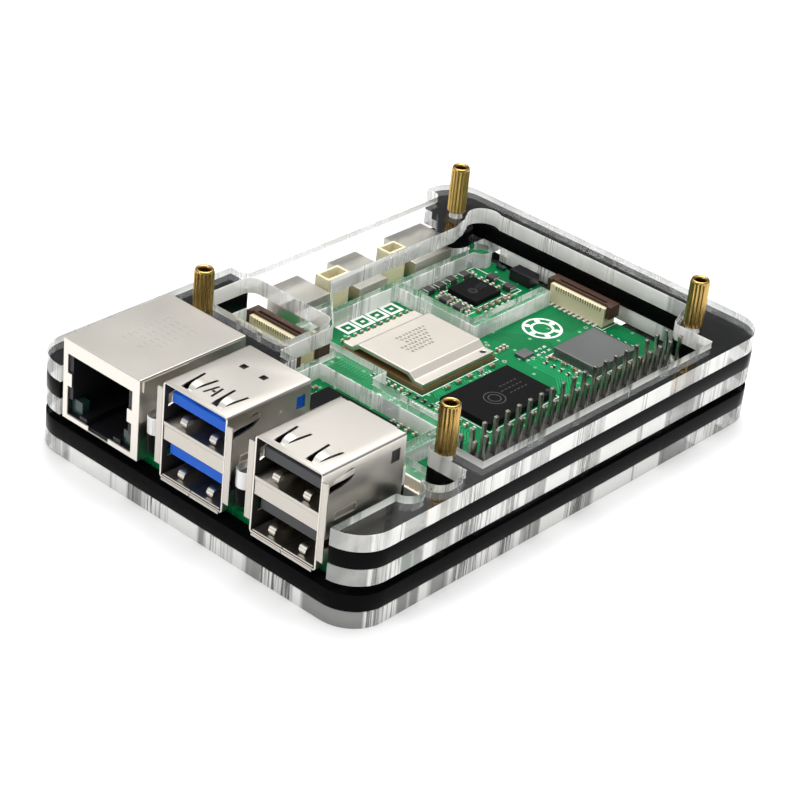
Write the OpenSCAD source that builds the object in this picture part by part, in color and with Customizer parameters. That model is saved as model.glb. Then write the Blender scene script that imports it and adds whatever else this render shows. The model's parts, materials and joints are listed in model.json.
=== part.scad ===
// Single board computer in an open sandwich case of five flat plastic sheets.
// Board frame used while drawing: X from the memory card edge to the USB edge,
// Y from the power and video edge to the pin header edge, Z up from the board's top face.
// The whole model is then moved so that its origin is the middle of the case's underside.

/* [Circuit board] */
// Length of the board, memory card edge to USB edge
board_l = 85; // [85:0.5:110]
// Width of the board, video edge to pin header edge
board_w = 56; // [56:0.5:75]
// Thickness of the board
board_t = 1.4; // [1:0.1:2]
// Radius of the board's corners
board_r = 3; // [1:0.5:4]
// Distance from the board's edges to the first mounting hole
hole_in = 3.5; // [3:0.1:4.5]
// Spacing of the mounting holes along the board
hole_dx = 58; // [58:0.5:66]
// Diameter of the board's mounting holes
board_hole_d = 2.7; // [2.5:0.1:3.2]

/* [Case sheets] */
// Thickness of each plastic sheet
sheet_t = 2.75; // [2.5:0.05:3.3]
// How far the sheets reach past the memory card edge
reach_card = 5.5; // [5:0.1:8]
// How far the sheets reach past the USB edge
reach_usb = 2.7; // [2.7:0.1:6]
// How far the sheets reach past the two long edges
reach_side = 5; // [4.8:0.1:7]
// Radius of the sheets' outer corners
case_r = 6; // [3:0.5:8]
// Depth of the recess in front of the power and video sockets
recess_depth = 3.2; // [1:0.1:4]
// Gap between the board's edge and the sheets' inner edges
edge_gap = 1; // [0.5:0.1:1.2]
// Clearance of each screw in its sheet hole, on the diameter
screw_clear = 0.2; // [0.1:0.05:0.6]

/* [Fasteners] */
// Outer diameter of the brass standoffs
standoff_d = 3.1; // [3:0.1:4]
// Height of the brass standoffs
standoff_h = 8; // [6:0.5:12]
// Diameter of the threaded bore at the top of each standoff
standoff_bore_d = 1.7; // [1.6:0.05:1.8]
// Diameter of the screw shanks
screw_d = 2; // [1.8:0.1:2.2]
// Length of thread that each screw puts into its standoff
screw_grip = 4; // [3:0.5:5]
// Diameter of the countersunk screw heads
screw_head_d = 3.8; // [3.4:0.1:4.2]

/* [USB and network sockets] */
// Height of the double USB sockets above the board
usb_h = 15.45; // [15:0.05:16.5]
// Width of the double USB sockets' shells
usb_w = 12.6; // [12.2:0.1:13.2]
// Depth of the double USB sockets' shells
usb_d = 16.45; // [15:0.05:17]
// Distance from the video edge to the middle of the first USB socket
usb_a_y = 29.1; // [28.9:0.1:29.3]
// Distance from the video edge to the middle of the second USB socket
usb_b_y = 47.05; // [46.9:0.05:47.2]
// Width of the side flanges at the USB sockets' mouths
usb_flange = 1.1; // [0.4:0.1:1.3]
// Height of the network socket above the board
net_h = 13.3; // [12.8:0.1:14]
// Width of the network socket
net_w = 16; // [15.5:0.1:16.4]
// Depth of the network socket
net_d = 20.6; // [18:0.1:21]
// Distance from the video edge to the middle of the network socket
net_y = 10.2; // [10.1:0.1:10.4]
// How far the sockets' mouths stand past the board's edge
mouth_reach = 2.6; // [2.2:0.1:2.6]

/* [Chips] */
// Side of the processor's carrier
cpu_side = 17; // [14:0.5:18]
// Place of the processor's middle along the board
cpu_x = 33.2; // [32:0.1:34]
// Place of the processor's middle across the board
cpu_y = 22.8; // [22:0.1:24]
// Width of the raised band on the processor's lid
cpu_band = 10; // [8:0.5:12]

/* [Moving parts] */
// Travel of the power button
button_travel = 0.25; // [0.1:0.05:0.35]
// Travel of the ribbon cable sockets' latches
latch_travel = 0.8; // [0.5:0.1:1.2]
// Running clearance round the moving parts
run_gap = 0.1; // [0.08:0.01:0.2]

/* [Hidden] */
$fn = 48;
eps = 0.01;

// Heights of the stack, from the board's top face
z_middle = 0;
z_upper = sheet_t;
z_top = 2 * sheet_t;
z_stand = 3 * sheet_t;
z_lower = -board_t - sheet_t;
z_base = z_lower - sheet_t;

// Plan of the sheets
x_card = -reach_card;
x_usb = board_l + reach_usb;
y_video = -reach_side;
y_header = board_w + reach_side;
window_x = -edge_gap;
header_window_y = board_w + edge_gap + 0.7;
hole_dy = board_w - 2 * hole_in;
hole_x = [hole_in, hole_in + hole_dx];
hole_y = [hole_in, hole_in + hole_dy];
recess_x = [1.3, 47.2];
pad_r = 3.1;

// Plan of the sockets on the USB edge, measured back from that edge
mouth_x = board_l + mouth_reach;
usb_back_x = mouth_x - usb_d;
net_back_x = mouth_x - net_d;
rear_bar = [usb_back_x - 2.95, usb_back_x - 0.35];
rear_bar_y = net_y + net_w / 2 + 0.3;
finger_gap = 0.15;
finger_y = [[net_y + net_w / 2 + 0.8, usb_a_y - usb_w / 2 - usb_flange - finger_gap],
            [usb_a_y + usb_w / 2 + usb_flange + finger_gap,
             usb_b_y - usb_w / 2 - usb_flange - finger_gap]];
arm_y = usb_b_y + usb_w / 2 + usb_flange + 1;
block_right = min(hole_x[1] + 5, net_back_x - 0.4);
strip_y = 7.65;
frame_y = 18.2;

// Sheet metal and plastic inside the USB sockets
shell_t = 0.3;
usb_lip = 0.65;
usb_divider = [6.15, 9.15];
usb_tongue_z = [[3.8, 5.6], [12.1, 13.9]];
usb_tongue_w = 10.8;
usb_tongue_back = 9;
tongue_set_back = 1;

// Mouth of the network socket
net_mouth_y = [net_y - 7, net_y + 6.5];
net_mouth_z = [0.9, 10.85];
net_cavity_d = 13.5;

// Ribbon cable sockets
ribbon_w = 3.1;
ribbon_h = 3.4;
ribbon_slot = 0.6;
latch_t = 0.5;
latch_w = 2;
latch_lug = 0.8;
latch_lug_h = 1.7;
camera_x = 46.3;
display_x = 52.6;
camera_y = [0.8, 16.4];
expansion_x = 0.1;
expansion_y = [23.5, 36.5];

// Pin header
pin_pitch = 2.54;
pin_w = 0.64;
pin_tip = 8.53;
header_columns = 20;
header_x0 = 8.37;
header_y0 = board_w - 4.77;

// Power and video sockets on the long edge
usb_c_x = 11.2;
usb_c_size = [8.94, 7.35, 3.26];
socket_y = -1.3;
video_x = [25.8, 39.2];
video_size = [6.5, 7.4, 3];

// Power button and status light
button_y = 17.5;
button_size = [2.5, 4.4, 2];
plunger_w = 1.6;
plunger_z = [0.5, 1.5];
plunger_out = 0.9;
plunger_in = 0.9;

module board_frame() {
    translate([-(x_card + x_usb) / 2, -(y_video + y_header) / 2, -z_base]) children();
}

// Box from one corner to the opposite one
module block(low, high) {
    translate(low) cube(high - low);
}

// Flat rectangle between two corners with round corners of radius r
module round_rect(low, high, r) {
    translate([low[0] + r, low[1]]) square([high[0] - low[0] - 2 * r, high[1] - low[1]]);
    translate([low[0], low[1] + r]) square([high[0] - low[0], high[1] - low[1] - 2 * r]);
    for (x = [low[0] + r, high[0] - r], y = [low[1] + r, high[1] - r])
        translate([x, y]) circle(r);
}

// Rectangle between two corners
module rect(low, high) {
    translate(low) square(high - low);
}

module at_holes() {
    for (x = hole_x, y = hole_y) translate([x, y]) children();
}

// ---------------------------------------------------------------- case sheets

module sheet(z) {
    translate([0, 0, z]) linear_extrude(sheet_t) children();
}

// Outer edge that all five sheets share, with the recess at the video sockets
module case_outline() {
    difference() {
        round_rect([x_card, y_video], [x_usb, y_header], case_r);
        round_rect([recess_x[0], y_video - 5], [recess_x[1], y_video + recess_depth], 1.5);
    }
}

module screw_holes() {
    at_holes() circle(d = screw_d + screw_clear);
}

// Notch in the two lowest sheets that gives a finger room to pull the memory card
module card_notch() {
    card_notch_w = 15;
    round_rect([x_card - 5, board_w / 2 - card_notch_w / 2],
               [2, board_w / 2 + card_notch_w / 2], 3);
}

module base_plate_clear() {
    head_h = (screw_head_d - screw_d) / 2;
    color([0.86, 0.9, 0.9, 0.5]) difference() {
        sheet(z_base) difference() {
            case_outline();
            card_notch();
        }
        at_holes() {
            translate([0, 0, z_base - 1]) cylinder(d = screw_d + screw_clear, h = sheet_t + 2);
            translate([0, 0, z_base - eps])
                cylinder(d1 = screw_head_d + screw_clear, d2 = screw_d + screw_clear, h = head_h);
        }
    }
}

// Black frame under the board: a ledge along the edges and round pads at the screws
module lower_black_layer() {
    ledge = 1.2;
    ledge_usb = 2.6;
    pad_r = 3.6;
    color([0.06, 0.06, 0.07]) sheet(z_lower) difference() {
        case_outline();
        card_notch();
        difference() {
            round_rect([ledge, ledge], [board_l - ledge_usb, board_w - ledge], 2);
            at_holes() circle(pad_r);
        }
        screw_holes();
    }
}

// Bay over the fan socket, beside the pin header's end
module fan_bay() {
    bay = [hole_x[1] + 1.5, hole_x[1] + 7.9];
    round_rect([bay[0], hole_y[1] - 12], [bay[1], header_window_y + 0.8], 2.4);
}

// Corner points of both upper sheets' main window on the side of the USB sockets
function window_far_side() = [
    [hole_x[1] - 2, frame_y], [hole_x[1] - 2, finger_y[0][1]], [rear_bar[0], finger_y[0][1]],
    [rear_bar[0], header_window_y], [window_x, header_window_y]];

// Opening for the sockets on the USB edge
module socket_opening() {
    low_y = net_y - net_w / 2 - 0.4;
    bay_r = 2.4;
    rect([block_right, low_y], [x_usb + 1, rear_bar_y]);
    rect([rear_bar[0], rear_bar_y - 1], [x_usb + 1, arm_y]);
    translate([rear_bar[1] + 1.5, arm_y - 0.2]) circle(bay_r);
}

// Bar behind the USB sockets with its fingers between the sockets
module rear_bar_plan() {
    bar_r = (rear_bar[1] - rear_bar[0]) / 2;
    bar_end = usb_b_y + 3.6;
    finger_tip = x_usb - 0.3;
    rect([rear_bar[0], rear_bar_y], [rear_bar[1], bar_end]);
    translate([rear_bar[0] + bar_r, bar_end]) circle(bar_r);
    for (span = finger_y) {
        tip_r = (span[1] - span[0]) / 2;
        rect([rear_bar[1] - 1, span[0]], [finger_tip - tip_r, span[1]]);
        translate([finger_tip - tip_r, span[0] + tip_r]) circle(tip_r);
    }
}

// Finger that holds the standoff beside the pin header's end
module header_finger() {
    finger_x = [hole_x[1] - 2.15, hole_x[1] + 1.45];
    round_rect([finger_x[0], hole_y[1] - 2.3], [finger_x[1], header_window_y + 2], 1);
}

// Pad round the standoff in the corner between the card edge and the pin header
module header_corner_pad() {
    polygon([[window_x - 1, hole_y[1] - 4.6], [window_x + 0.6, hole_y[1] - 4.3],
             [hole_x[0] + 1.2, hole_y[1] - 2.5], [hole_x[0] + 2, hole_y[1] - 1.6],
             [hole_x[0] + 2, header_window_y + 1], [window_x - 1, header_window_y + 1]]);
}

// Black sheet: its window also leaves the power, video and ribbon sockets open
module upper_black_layer() {
    corner = [recess_x[0] + 2, hole_y[0] - 2.6];
    block_x = hole_x[1] - 4;
    color([0.06, 0.06, 0.07]) sheet(z_upper) difference() {
        union() {
            difference() {
                case_outline();
                polygon(concat([[window_x, corner[1]], corner, [corner[0], y_video - 1],
                                [recess_x[1], y_video - 1], [recess_x[1], hole_y[0] - 4.5],
                                [block_x, hole_y[0] - 4.5], [block_x, frame_y]],
                               window_far_side()));
                fan_bay();
                socket_opening();
            }
            rear_bar_plan();
            header_finger();
            header_corner_pad();
            translate([hole_x[0], hole_y[0]]) circle(pad_r);
        }
        screw_holes();
    }
}

module ribbon_window() {
    round_rect([camera_x + 0.2, -1], [hole_x[1] - 4, camera_y[1] + 0.4], 1.8);
}

// Clear top sheet: a strip over the video sockets slants into the ribbon sockets' frame
module top_clear_layer() {
    dip_at = [1.3, hole_y[0] + 4.3];
    dip_r = 2.8;
    strip_end = 37.8;
    slant = [47.5, 17.5];
    color([0.86, 0.9, 0.9, 0.5]) sheet(z_top) difference() {
        union() {
            difference() {
                case_outline();
                polygon(concat([[window_x, strip_y], [strip_end, strip_y], slant,
                                [slant[0] + 1.5, frame_y]], window_far_side()));
                fan_bay();
                socket_opening();
            }
            rear_bar_plan();
            header_finger();
            header_corner_pad();
        }
        ribbon_window();
        translate(dip_at) circle(dip_r);
        // slope from the dip up to the strip's edge
        polygon([[hole_x[0] - 1.5, strip_y + 1], dip_at, [hole_x[0], hole_y[0] + 2.3],
                 [hole_x[0] + 1.3, hole_y[0] + 3.1], [hole_x[0] + 5, strip_y],
                 [hole_x[0] + 5, strip_y + 1]]);
        screw_holes();
    }
}

// Webs of the sheet that lies on the board
module middle_clear_layer() {
    inner_x = window_x - 0.2;
    ring_gap = [hole_y[0] + 4, hole_y[0] + 6.5];
    video_web = [7.45, 8.7];
    chip_web = [21.5, 23.3];
    chip_web_top = 25.5;
    frame_web_x = [camera_x - 1.9, camera_x - 0.6];
    cpu_bar_x = [47.5, 50.6];
    cross_y = [41.8, 43.8];
    color([0.86, 0.9, 0.9, 0.5]) sheet(z_middle) difference() {
        union() {
            difference() {
                case_outline();
                rect([inner_x, hole_y[0] - 4.4], [block_right, header_window_y]);
                rect([block_right - 1, net_y - net_w / 2 - 0.4], [x_usb + 1, arm_y]);
                rect([block_right - 1, arm_y - 1], [usb_back_x, header_window_y]);
                rect([x_card - 1, ring_gap[0]], [inner_x + 1, ring_gap[1]]);
                rect([recess_x[0], y_video - 1], [recess_x[1], hole_y[0]]);
            }
            // pads round the four screws
            at_holes() circle(pad_r);
            rect([inner_x - 1, hole_y[0] - 3], [hole_x[0], hole_y[0] + 3]);
            rect([inner_x - 1, hole_y[1] - 3], [hole_x[0], hole_y[1] + 3]);
            rect([hole_x[0] - pad_r + 1, hole_y[1]], [hole_x[0] + 2, header_window_y + 1]);
            rect([hole_x[1] - 3, y_video + 1], [hole_x[1] + 3, hole_y[0]]);
            // round end of the web beside the power chip
            translate([hole_x[0] - 1.25, 8.6]) circle(1.95);
            rect([hole_x[0] - 2, hole_y[0]], [hole_x[0], 8.6]);
            rect([hole_x[0] - 1.25, video_web[0]], [frame_web_x[1], video_web[1]]);
            rect([chip_web[0], video_web[0]], [chip_web[1], chip_web_top]);
            rect([4.3, chip_web_top - 2.1], [chip_web[1], chip_web_top]);
            // bars between the processor, the ribbon sockets and the controller
            rect([frame_web_x[0], video_web[0]], [frame_web_x[1], frame_y]);
            rect([frame_web_x[0], frame_y - 1.2], [hole_x[1], frame_y]);
            rect([frame_web_x[0], frame_y - 1], [cpu_bar_x[1], 26.3]);
            rect([cpu_bar_x[0], frame_y], [cpu_bar_x[1], cross_y[1]]);
            rect([hole_x[1] - 2, hole_y[0]], [hole_x[1] + 2, frame_y]);
            rect([cpu_bar_x[0], cross_y[0]], [hole_x[1] + 2, cross_y[1]]);
            rect([hole_x[1] - 1.6, cross_y[0]], [hole_x[1] + 1.8, header_window_y + 1]);
        }
        screw_holes();
    }
}

// ---------------------------------------------------------------- fasteners

// Round brass standoffs: an inner thread above, the screw's seat below
module standoffs() {
    chamfer = 0.25;
    color([0.72, 0.55, 0.2]) at_holes() translate([0, 0, z_stand]) difference() {
        rotate_extrude() polygon([[0, 0], [standoff_d / 2, 0],
            [standoff_d / 2, standoff_h - chamfer],
            [standoff_d / 2 - chamfer, standoff_h], [0, standoff_h]]);
        translate([0, 0, -1]) cylinder(d = screw_d + 0.04, h = screw_grip + 1);
        translate([0, 0, screw_grip - 1]) cylinder(d = standoff_bore_d, h = standoff_h);
    }
}

// Countersunk screws from below, through the whole stack into the standoffs
module base_screws() {
    head_h = (screw_head_d - screw_d) / 2;
    slot_w = 0.5;
    slot_h = 0.5;
    color([0.75, 0.75, 0.76]) at_holes() translate([0, 0, z_base]) difference() {
        union() {
            cylinder(d1 = screw_head_d, d2 = screw_d, h = head_h);
            cylinder(d = screw_d, h = z_stand + screw_grip - z_base - 0.1);
        }
        for (turn = [0, 90]) rotate([0, 0, turn])
            translate([-1, -slot_w / 2, -1]) cube([2, slot_w, 1 + slot_h]);
    }
}

// ---------------------------------------------------------------- board

module circuit_board() {
    color([0.05, 0.42, 0.25]) translate([0, 0, -board_t]) linear_extrude(board_t) difference() {
        round_rect([0, 0], [board_l, board_w], board_r);
        at_holes() circle(d = board_hole_d);
    }
}

// ---------------------------------------------------------------- chips

carrier_h = 0.8;
lid_t = 0.7;
lid_lift = 0.9;

module processor_carrier() {
    color([0.2, 0.3, 0.16])
        block([cpu_x - cpu_side / 2, cpu_y - cpu_side / 2, 0],
              [cpu_x + cpu_side / 2, cpu_y + cpu_side / 2, carrier_h]);
}

module processor_die() {
    die = 4;
    color([0.3, 0.3, 0.33])
        block([cpu_x - die, cpu_y - die, carrier_h], [cpu_x + die, cpu_y + die, carrier_h + lid_lift]);
}

// Bent metal lid: two flanges glued to the carrier and a raised band between them
module processor_lid() {
    lid_half = [cpu_side / 2 - 0.3, cpu_side / 2 - 0.2];
    band = cpu_band / 2;
    slope = 1.2;
    color([0.75, 0.73, 0.68]) difference() {
        translate([cpu_x - lid_half[0], cpu_y, carrier_h]) rotate([90, 0, 90])
            linear_extrude(2 * lid_half[0]) polygon([
                [-lid_half[1], 0], [-band - slope, 0], [-band, lid_lift], [band, lid_lift],
                [band + slope, 0], [lid_half[1], 0], [lid_half[1], lid_t],
                [band + slope + 0.3, lid_t], [band + 0.3, lid_lift + lid_t],
                [-band - 0.3, lid_lift + lid_t], [-band - slope - 0.3, lid_t],
                [-lid_half[1], lid_t]]);
        translate([cpu_x - 6.9, cpu_y + 7.4, 0]) cylinder(d = 0.7, h = 4);
    }
}

// Flat black chip lying on the board between two corners
module chip(low, high, h) {
    color([0.1, 0.1, 0.11]) block([low[0], low[1], 0], [high[0], high[1], h]);
}

module memory_chip() {
    chip([26, 34.7], [41.6, 44.7], 1.1);
}

module io_controller_chip() {
    side = 14;
    chip([52.5, 22], [52.5 + side, 22 + side], 1.2);
}

module power_management_chip() {
    chip([7.8, 12.1], [14.2, 18.1], 0.9);
}

module wireless_shield() {
    can_t = 0.2;
    color([0.62, 0.63, 0.64]) difference() {
        block([6.4, 36.2, 0], [16.4, 44.8, 1.5]);
        block([6.4 + can_t, 36.2 + can_t, -1], [16.4 - can_t, 44.8 - can_t, 1.5 - can_t]);
    }
}

// ---------------------------------------------------------------- network socket

module network_shell() {
    low = [net_back_x, net_y - net_w / 2, 0];
    high = [mouth_x, net_y + net_w / 2, net_h];
    tab = [0.9, 2.2];
    tab_z = 5.6;
    notch_y = [net_y - 2.4, net_y + 1.8];
    color([0.78, 0.76, 0.72]) difference() {
        block(low, high);
        block(low + [shell_t, shell_t, -1], high - [shell_t, shell_t, shell_t]);
        // mouth, with a tab left standing on each side and a notch in the lower lip
        difference() {
            block([mouth_x - 1, net_mouth_y[0], net_mouth_z[0]],
                  [mouth_x + 1, net_mouth_y[1], net_mouth_z[1]]);
            for (y = [net_mouth_y[0] - 1, net_mouth_y[1] - tab[0]])
                block([mouth_x - 2, y, tab_z], [mouth_x + 2, y + tab[0] + 1, tab_z + tab[1]]);
        }
        block([mouth_x - 1, notch_y[0], 0.25], [mouth_x + 1, notch_y[1], 2]);
    }
}

// Black insert with the plug's cavity, which fills the shell
module network_body() {
    gap = shell_t + 0.02;
    cavity_y = [net_mouth_y[0] + 0.9, net_mouth_y[1] - 0.9];
    color([0.09, 0.09, 0.1]) difference() {
        block([net_back_x + gap, net_y - net_w / 2 + gap, 0],
              [mouth_x - gap, net_y + net_w / 2 - gap, net_h - gap]);
        block([mouth_x - net_cavity_d, cavity_y[0], 1.6],
              [mouth_x + 1, cavity_y[1], net_mouth_z[1]]);
        block([mouth_x - net_cavity_d, net_y - 3, 0.6], [mouth_x + 1, net_y + 2.6, 2]);
        // pockets that hold the two lights
        for (y = [net_mouth_y[0], net_mouth_y[1] - 2.4])
            block([mouth_x - 2.4, y, net_mouth_z[0]], [mouth_x + 1, y + 2.4, 3.4]);
        // slots that hold the eight contacts
        for (i = [0:7])
            block([mouth_x - net_cavity_d, contact_y(i) - 0.25, net_mouth_z[1] - 1],
                  [mouth_x - 3, contact_y(i) + 0.25, net_mouth_z[1] + 0.4]);
    }
}

function contact_y(i) = net_y - 0.25 + (i - 3.5) * 1.02;

module network_contacts() {
    color([0.8, 0.65, 0.3]) for (i = [0:7])
        block([mouth_x - net_cavity_d, contact_y(i) - 0.18, net_mouth_z[1] - 0.1],
              [mouth_x - 3.2, contact_y(i) + 0.18, net_mouth_z[1] + 0.4]);
}

module network_lights() {
    for (i = [0, 1]) {
        y = i == 0 ? net_mouth_y[0] : net_mouth_y[1] - 2.4;
        color(i == 0 ? [0.2, 0.42, 0.42] : [0.45, 0.42, 0.16])
            block([mouth_x - 2.35, y + 0.05, net_mouth_z[0] + 0.05],
                  [mouth_x - 0.9, y + 2.35, 3.35]);
    }
}

// ---------------------------------------------------------------- USB sockets

// Folded metal shell of a double socket, open at the front and below
module usb_shell(y) {
    w = usb_w / 2;
    flange_z = [0.3, usb_h - 1.2];
    color([0.8, 0.78, 0.74]) difference() {
        union() {
            difference() {
                block([usb_back_x, y - w, 0], [mouth_x, y + w, usb_h]);
                block([usb_back_x + shell_t, y - w + shell_t, -1],
                      [mouth_x + 1, y + w - shell_t, usb_h - shell_t]);
            }
            // folded divider between the two mouths and the lower lip
            block([mouth_x - 8, y - w + shell_t / 2, usb_divider[0]],
                  [mouth_x - 0.3, y + w - shell_t / 2, usb_divider[1]]);
            block([mouth_x - 9, y - w + shell_t / 2, 0],
                  [mouth_x - 0.3, y + w - shell_t / 2, usb_lip]);
            for (side = [-1, 1]) {
                ya = y + side * (w - shell_t / 2);
                yb = y + side * (w + usb_flange);
                block([mouth_x - shell_t, min(ya, yb), flange_z[0]],
                      [mouth_x, max(ya, yb), flange_z[1]]);
            }
        }
        // hollow of the folded divider
        block([mouth_x - 8 - eps, y - w + 1, usb_divider[0] + shell_t],
              [mouth_x - 0.3 - shell_t, y + w - 1, usb_divider[1] - shell_t]);
        // spring cuts in the top
        for (s = [-1, 1]) usb_spring_cut(y + 3.1 * s);
    }
}

// U-shaped cut round a contact spring in the shell's top
module usb_spring_cut(y) {
    cut = 0.35;
    slot_l = 5.2;
    slot_half = 1.25;
    translate([mouth_x - 1.9, y, usb_h - 1]) {
        translate([-0.9, -slot_half, 0]) cube([0.9, 2 * slot_half, 2]);
        for (s = [-1, 1]) translate([-slot_l, s * (slot_half - cut / 2) - cut / 2, 0])
            cube([slot_l, cut, 2]);
    }
}

// Plastic core of a double socket with its two tongues
module usb_body(y, shade) {
    w = usb_w / 2 - shell_t - 0.02;
    color(shade) {
        block([usb_back_x + shell_t + 0.02, y - w, 0],
              [mouth_x - usb_tongue_back, y + w, usb_h - shell_t - 0.02]);
        for (z = usb_tongue_z)
            block([mouth_x - usb_tongue_back - 1, y - usb_tongue_w / 2, z[0]],
                  [mouth_x - tongue_set_back, y + usb_tongue_w / 2, z[1]]);
    }
}

// Flat contacts under each tongue
module usb_contacts(y) {
    pitch = 2.4;
    contact_w = 1;
    contact_t = 0.15;
    color([0.8, 0.65, 0.3]) for (z = usb_tongue_z, i = [-1.5:1:1.5])
        block([mouth_x - usb_tongue_back, y + i * pitch - contact_w / 2, z[0] - contact_t],
              [mouth_x - tongue_set_back - 0.8, y + i * pitch + contact_w / 2, z[0]]);
}

module usb_blue_shell() {
    usb_shell(usb_a_y);
}

module usb_blue_body() {
    usb_body(usb_a_y, [0.1, 0.35, 0.8]);
}

module usb_blue_contacts() {
    usb_contacts(usb_a_y);
}

module usb_black_shell() {
    usb_shell(usb_b_y);
}

module usb_black_body() {
    usb_body(usb_b_y, [0.14, 0.14, 0.15]);
}

module usb_black_contacts() {
    usb_contacts(usb_b_y);
}

// ---------------------------------------------------------------- pin header

module at_pins() {
    for (i = [0 : header_columns - 1], j = [0, 1])
        translate([header_x0 + i * pin_pitch, header_y0 + j * pin_pitch, 0]) children();
}

module header_strip() {
    overhang = pin_pitch / 2;
    color([0.08, 0.08, 0.09]) difference() {
        block([header_x0 - overhang, header_y0 - overhang, 0],
              [header_x0 + (header_columns - 0.5) * pin_pitch, header_y0 + 1.5 * pin_pitch, pin_pitch]);
        at_pins() translate([0, 0, pin_pitch / 2]) cube([pin_w, pin_w, pin_pitch + 1], center = true);
    }
}

module header_pins() {
    color([0.72, 0.68, 0.6]) at_pins() translate([0, 0, pin_tip / 2])
        cube([pin_w, pin_w, pin_tip], center = true);
}

// ---------------------------------------------------------------- power and video sockets

// Flat metal socket shell, open towards the long edge
module edge_shell(x, size) {
    color([0.78, 0.77, 0.74]) difference() {
        block([x - size[0] / 2, socket_y, 0], [x + size[0] / 2, socket_y + size[1], size[2]]);
        block([x - size[0] / 2 + shell_t, socket_y - 1, shell_t],
              [x + size[0] / 2 - shell_t, socket_y + size[1] - shell_t, size[2] - shell_t]);
    }
}

module edge_tongue(x, size, tongue_w, tongue_t) {
    back = socket_y + size[1] - shell_t - 0.02;
    color([0.1, 0.1, 0.11]) {
        block([x - size[0] / 2 + shell_t + 0.02, back - 1.5, shell_t],
              [x + size[0] / 2 - shell_t - 0.02, back, size[2] - shell_t - 0.02]);
        block([x - tongue_w / 2, socket_y + 0.8, (size[2] - tongue_t) / 2],
              [x + tongue_w / 2, back - 1, (size[2] + tongue_t) / 2]);
    }
}

module usb_c_shell() {
    edge_shell(usb_c_x, usb_c_size);
}

module usb_c_tongue() {
    edge_tongue(usb_c_x, usb_c_size, 6.7, 0.7);
}

module video_shells() {
    for (x = video_x) edge_shell(x, video_size);
}

module video_tongues() {
    for (x = video_x) edge_tongue(x, video_size, 4.6, 0.8);
}

// ---------------------------------------------------------------- ribbon cable sockets

// Upright housing with a slot for the cable; x is its card side face
module ribbon_socket(x, y) {
    end = latch_lug + run_gap;
    color([0.85, 0.8, 0.66]) difference() {
        block([x, y[0] + end, 0], [x + ribbon_w, y[1] - end, ribbon_h]);
        block([x + latch_w / 2 + 0.4, y[0] + 1.6, 0.8],
              [x + latch_w / 2 + 0.4 + ribbon_slot, y[1] - 1.6, ribbon_h + 1]);
    }
}

// Sliding latch: a plate on the housing with a lug down each end
module ribbon_latch(x, y) {
    color([0.27, 0.18, 0.14]) difference() {
        union() {
            block([x + 0.3, y[0], ribbon_h], [x + 0.3 + latch_w, y[1], ribbon_h + latch_t]);
            for (low = [y[0], y[1] - latch_lug])
                block([x + 0.3, low, ribbon_h - latch_lug_h],
                      [x + ribbon_w - 0.3, low + latch_lug, ribbon_h + latch_t]);
        }
        block([x + latch_w / 2 + 0.4, y[0] + 1.6, ribbon_h - 1],
              [x + latch_w / 2 + 0.4 + ribbon_slot, y[1] - 1.6, ribbon_h + 1]);
    }
}

// Row of solder tails in front of a ribbon socket
module ribbon_tails(x, y) {
    pitch = 0.5;
    tail_w = 0.22;
    count = floor((y[1] - y[0] - 4) / pitch);
    start = (y[0] + y[1] - (count - 1) * pitch) / 2;
    for (i = [0 : count - 1])
        block([x + ribbon_w, start + i * pitch - tail_w / 2, 0],
              [x + ribbon_w + 0.6, start + i * pitch + tail_w / 2, 0.2]);
}

module camera_socket() {
    ribbon_socket(camera_x, camera_y);
}

module camera_latch() {
    ribbon_latch(camera_x, camera_y);
}

module display_socket() {
    ribbon_socket(display_x, camera_y);
}

module display_latch() {
    ribbon_latch(display_x, camera_y);
}

module expansion_socket() {
    ribbon_socket(expansion_x, expansion_y);
}

module expansion_latch() {
    ribbon_latch(expansion_x, expansion_y);
}

module ribbon_contacts() {
    color([0.75, 0.74, 0.7]) {
        ribbon_tails(camera_x, camera_y);
        ribbon_tails(display_x, camera_y);
        ribbon_tails(expansion_x, expansion_y);
    }
}

// ---------------------------------------------------------------- small wire sockets

wire_pitch = 1;
wire_socket_t = 2.9;
wire_socket_h = 4.25;

// Upright cream housing for a small plug, centred on x and y, pins in a row along Y or X
module wire_socket(x, y, pins, turn) {
    long = (pins - 1) * wire_pitch + 3;
    wall = 0.45;
    translate([x, y, 0]) rotate([0, 0, turn]) difference() {
        block([-wire_socket_t / 2, -long / 2, 0], [wire_socket_t / 2, long / 2, wire_socket_h]);
        block([-wire_socket_t / 2 + wall, -long / 2 + wall, 1],
              [wire_socket_t / 2 - wall, long / 2 - wall, wire_socket_h + 1]);
    }
}

module wire_pins(x, y, pins, turn) {
    half = 0.16;
    translate([x, y, 0]) rotate([0, 0, turn]) for (i = [0 : pins - 1]) {
        along = (i - (pins - 1) / 2) * wire_pitch;
        block([0.1 - half, along - half, 1], [0.1 + half, along + half, wire_socket_h - 0.6]);
    }
}

battery_at = [18.5, 3, 2, 90];
debug_at = [32.5, 3.2, 3, 90];
fan_at = [66.4, 51.2, 4, 0];

module clock_battery_socket() {
    color([0.86, 0.82, 0.7]) wire_socket(battery_at[0], battery_at[1], battery_at[2], battery_at[3]);
}

module debug_socket() {
    color([0.86, 0.82, 0.7]) wire_socket(debug_at[0], debug_at[1], debug_at[2], debug_at[3]);
}

module fan_socket() {
    color([0.9, 0.89, 0.86]) wire_socket(fan_at[0], fan_at[1], fan_at[2], fan_at[3]);
}

module small_socket_pins() {
    color([0.8, 0.65, 0.3]) for (at = [battery_at, debug_at, fan_at])
        wire_pins(at[0], at[1], at[2], at[3]);
}

// ---------------------------------------------------------------- button and light

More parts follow.
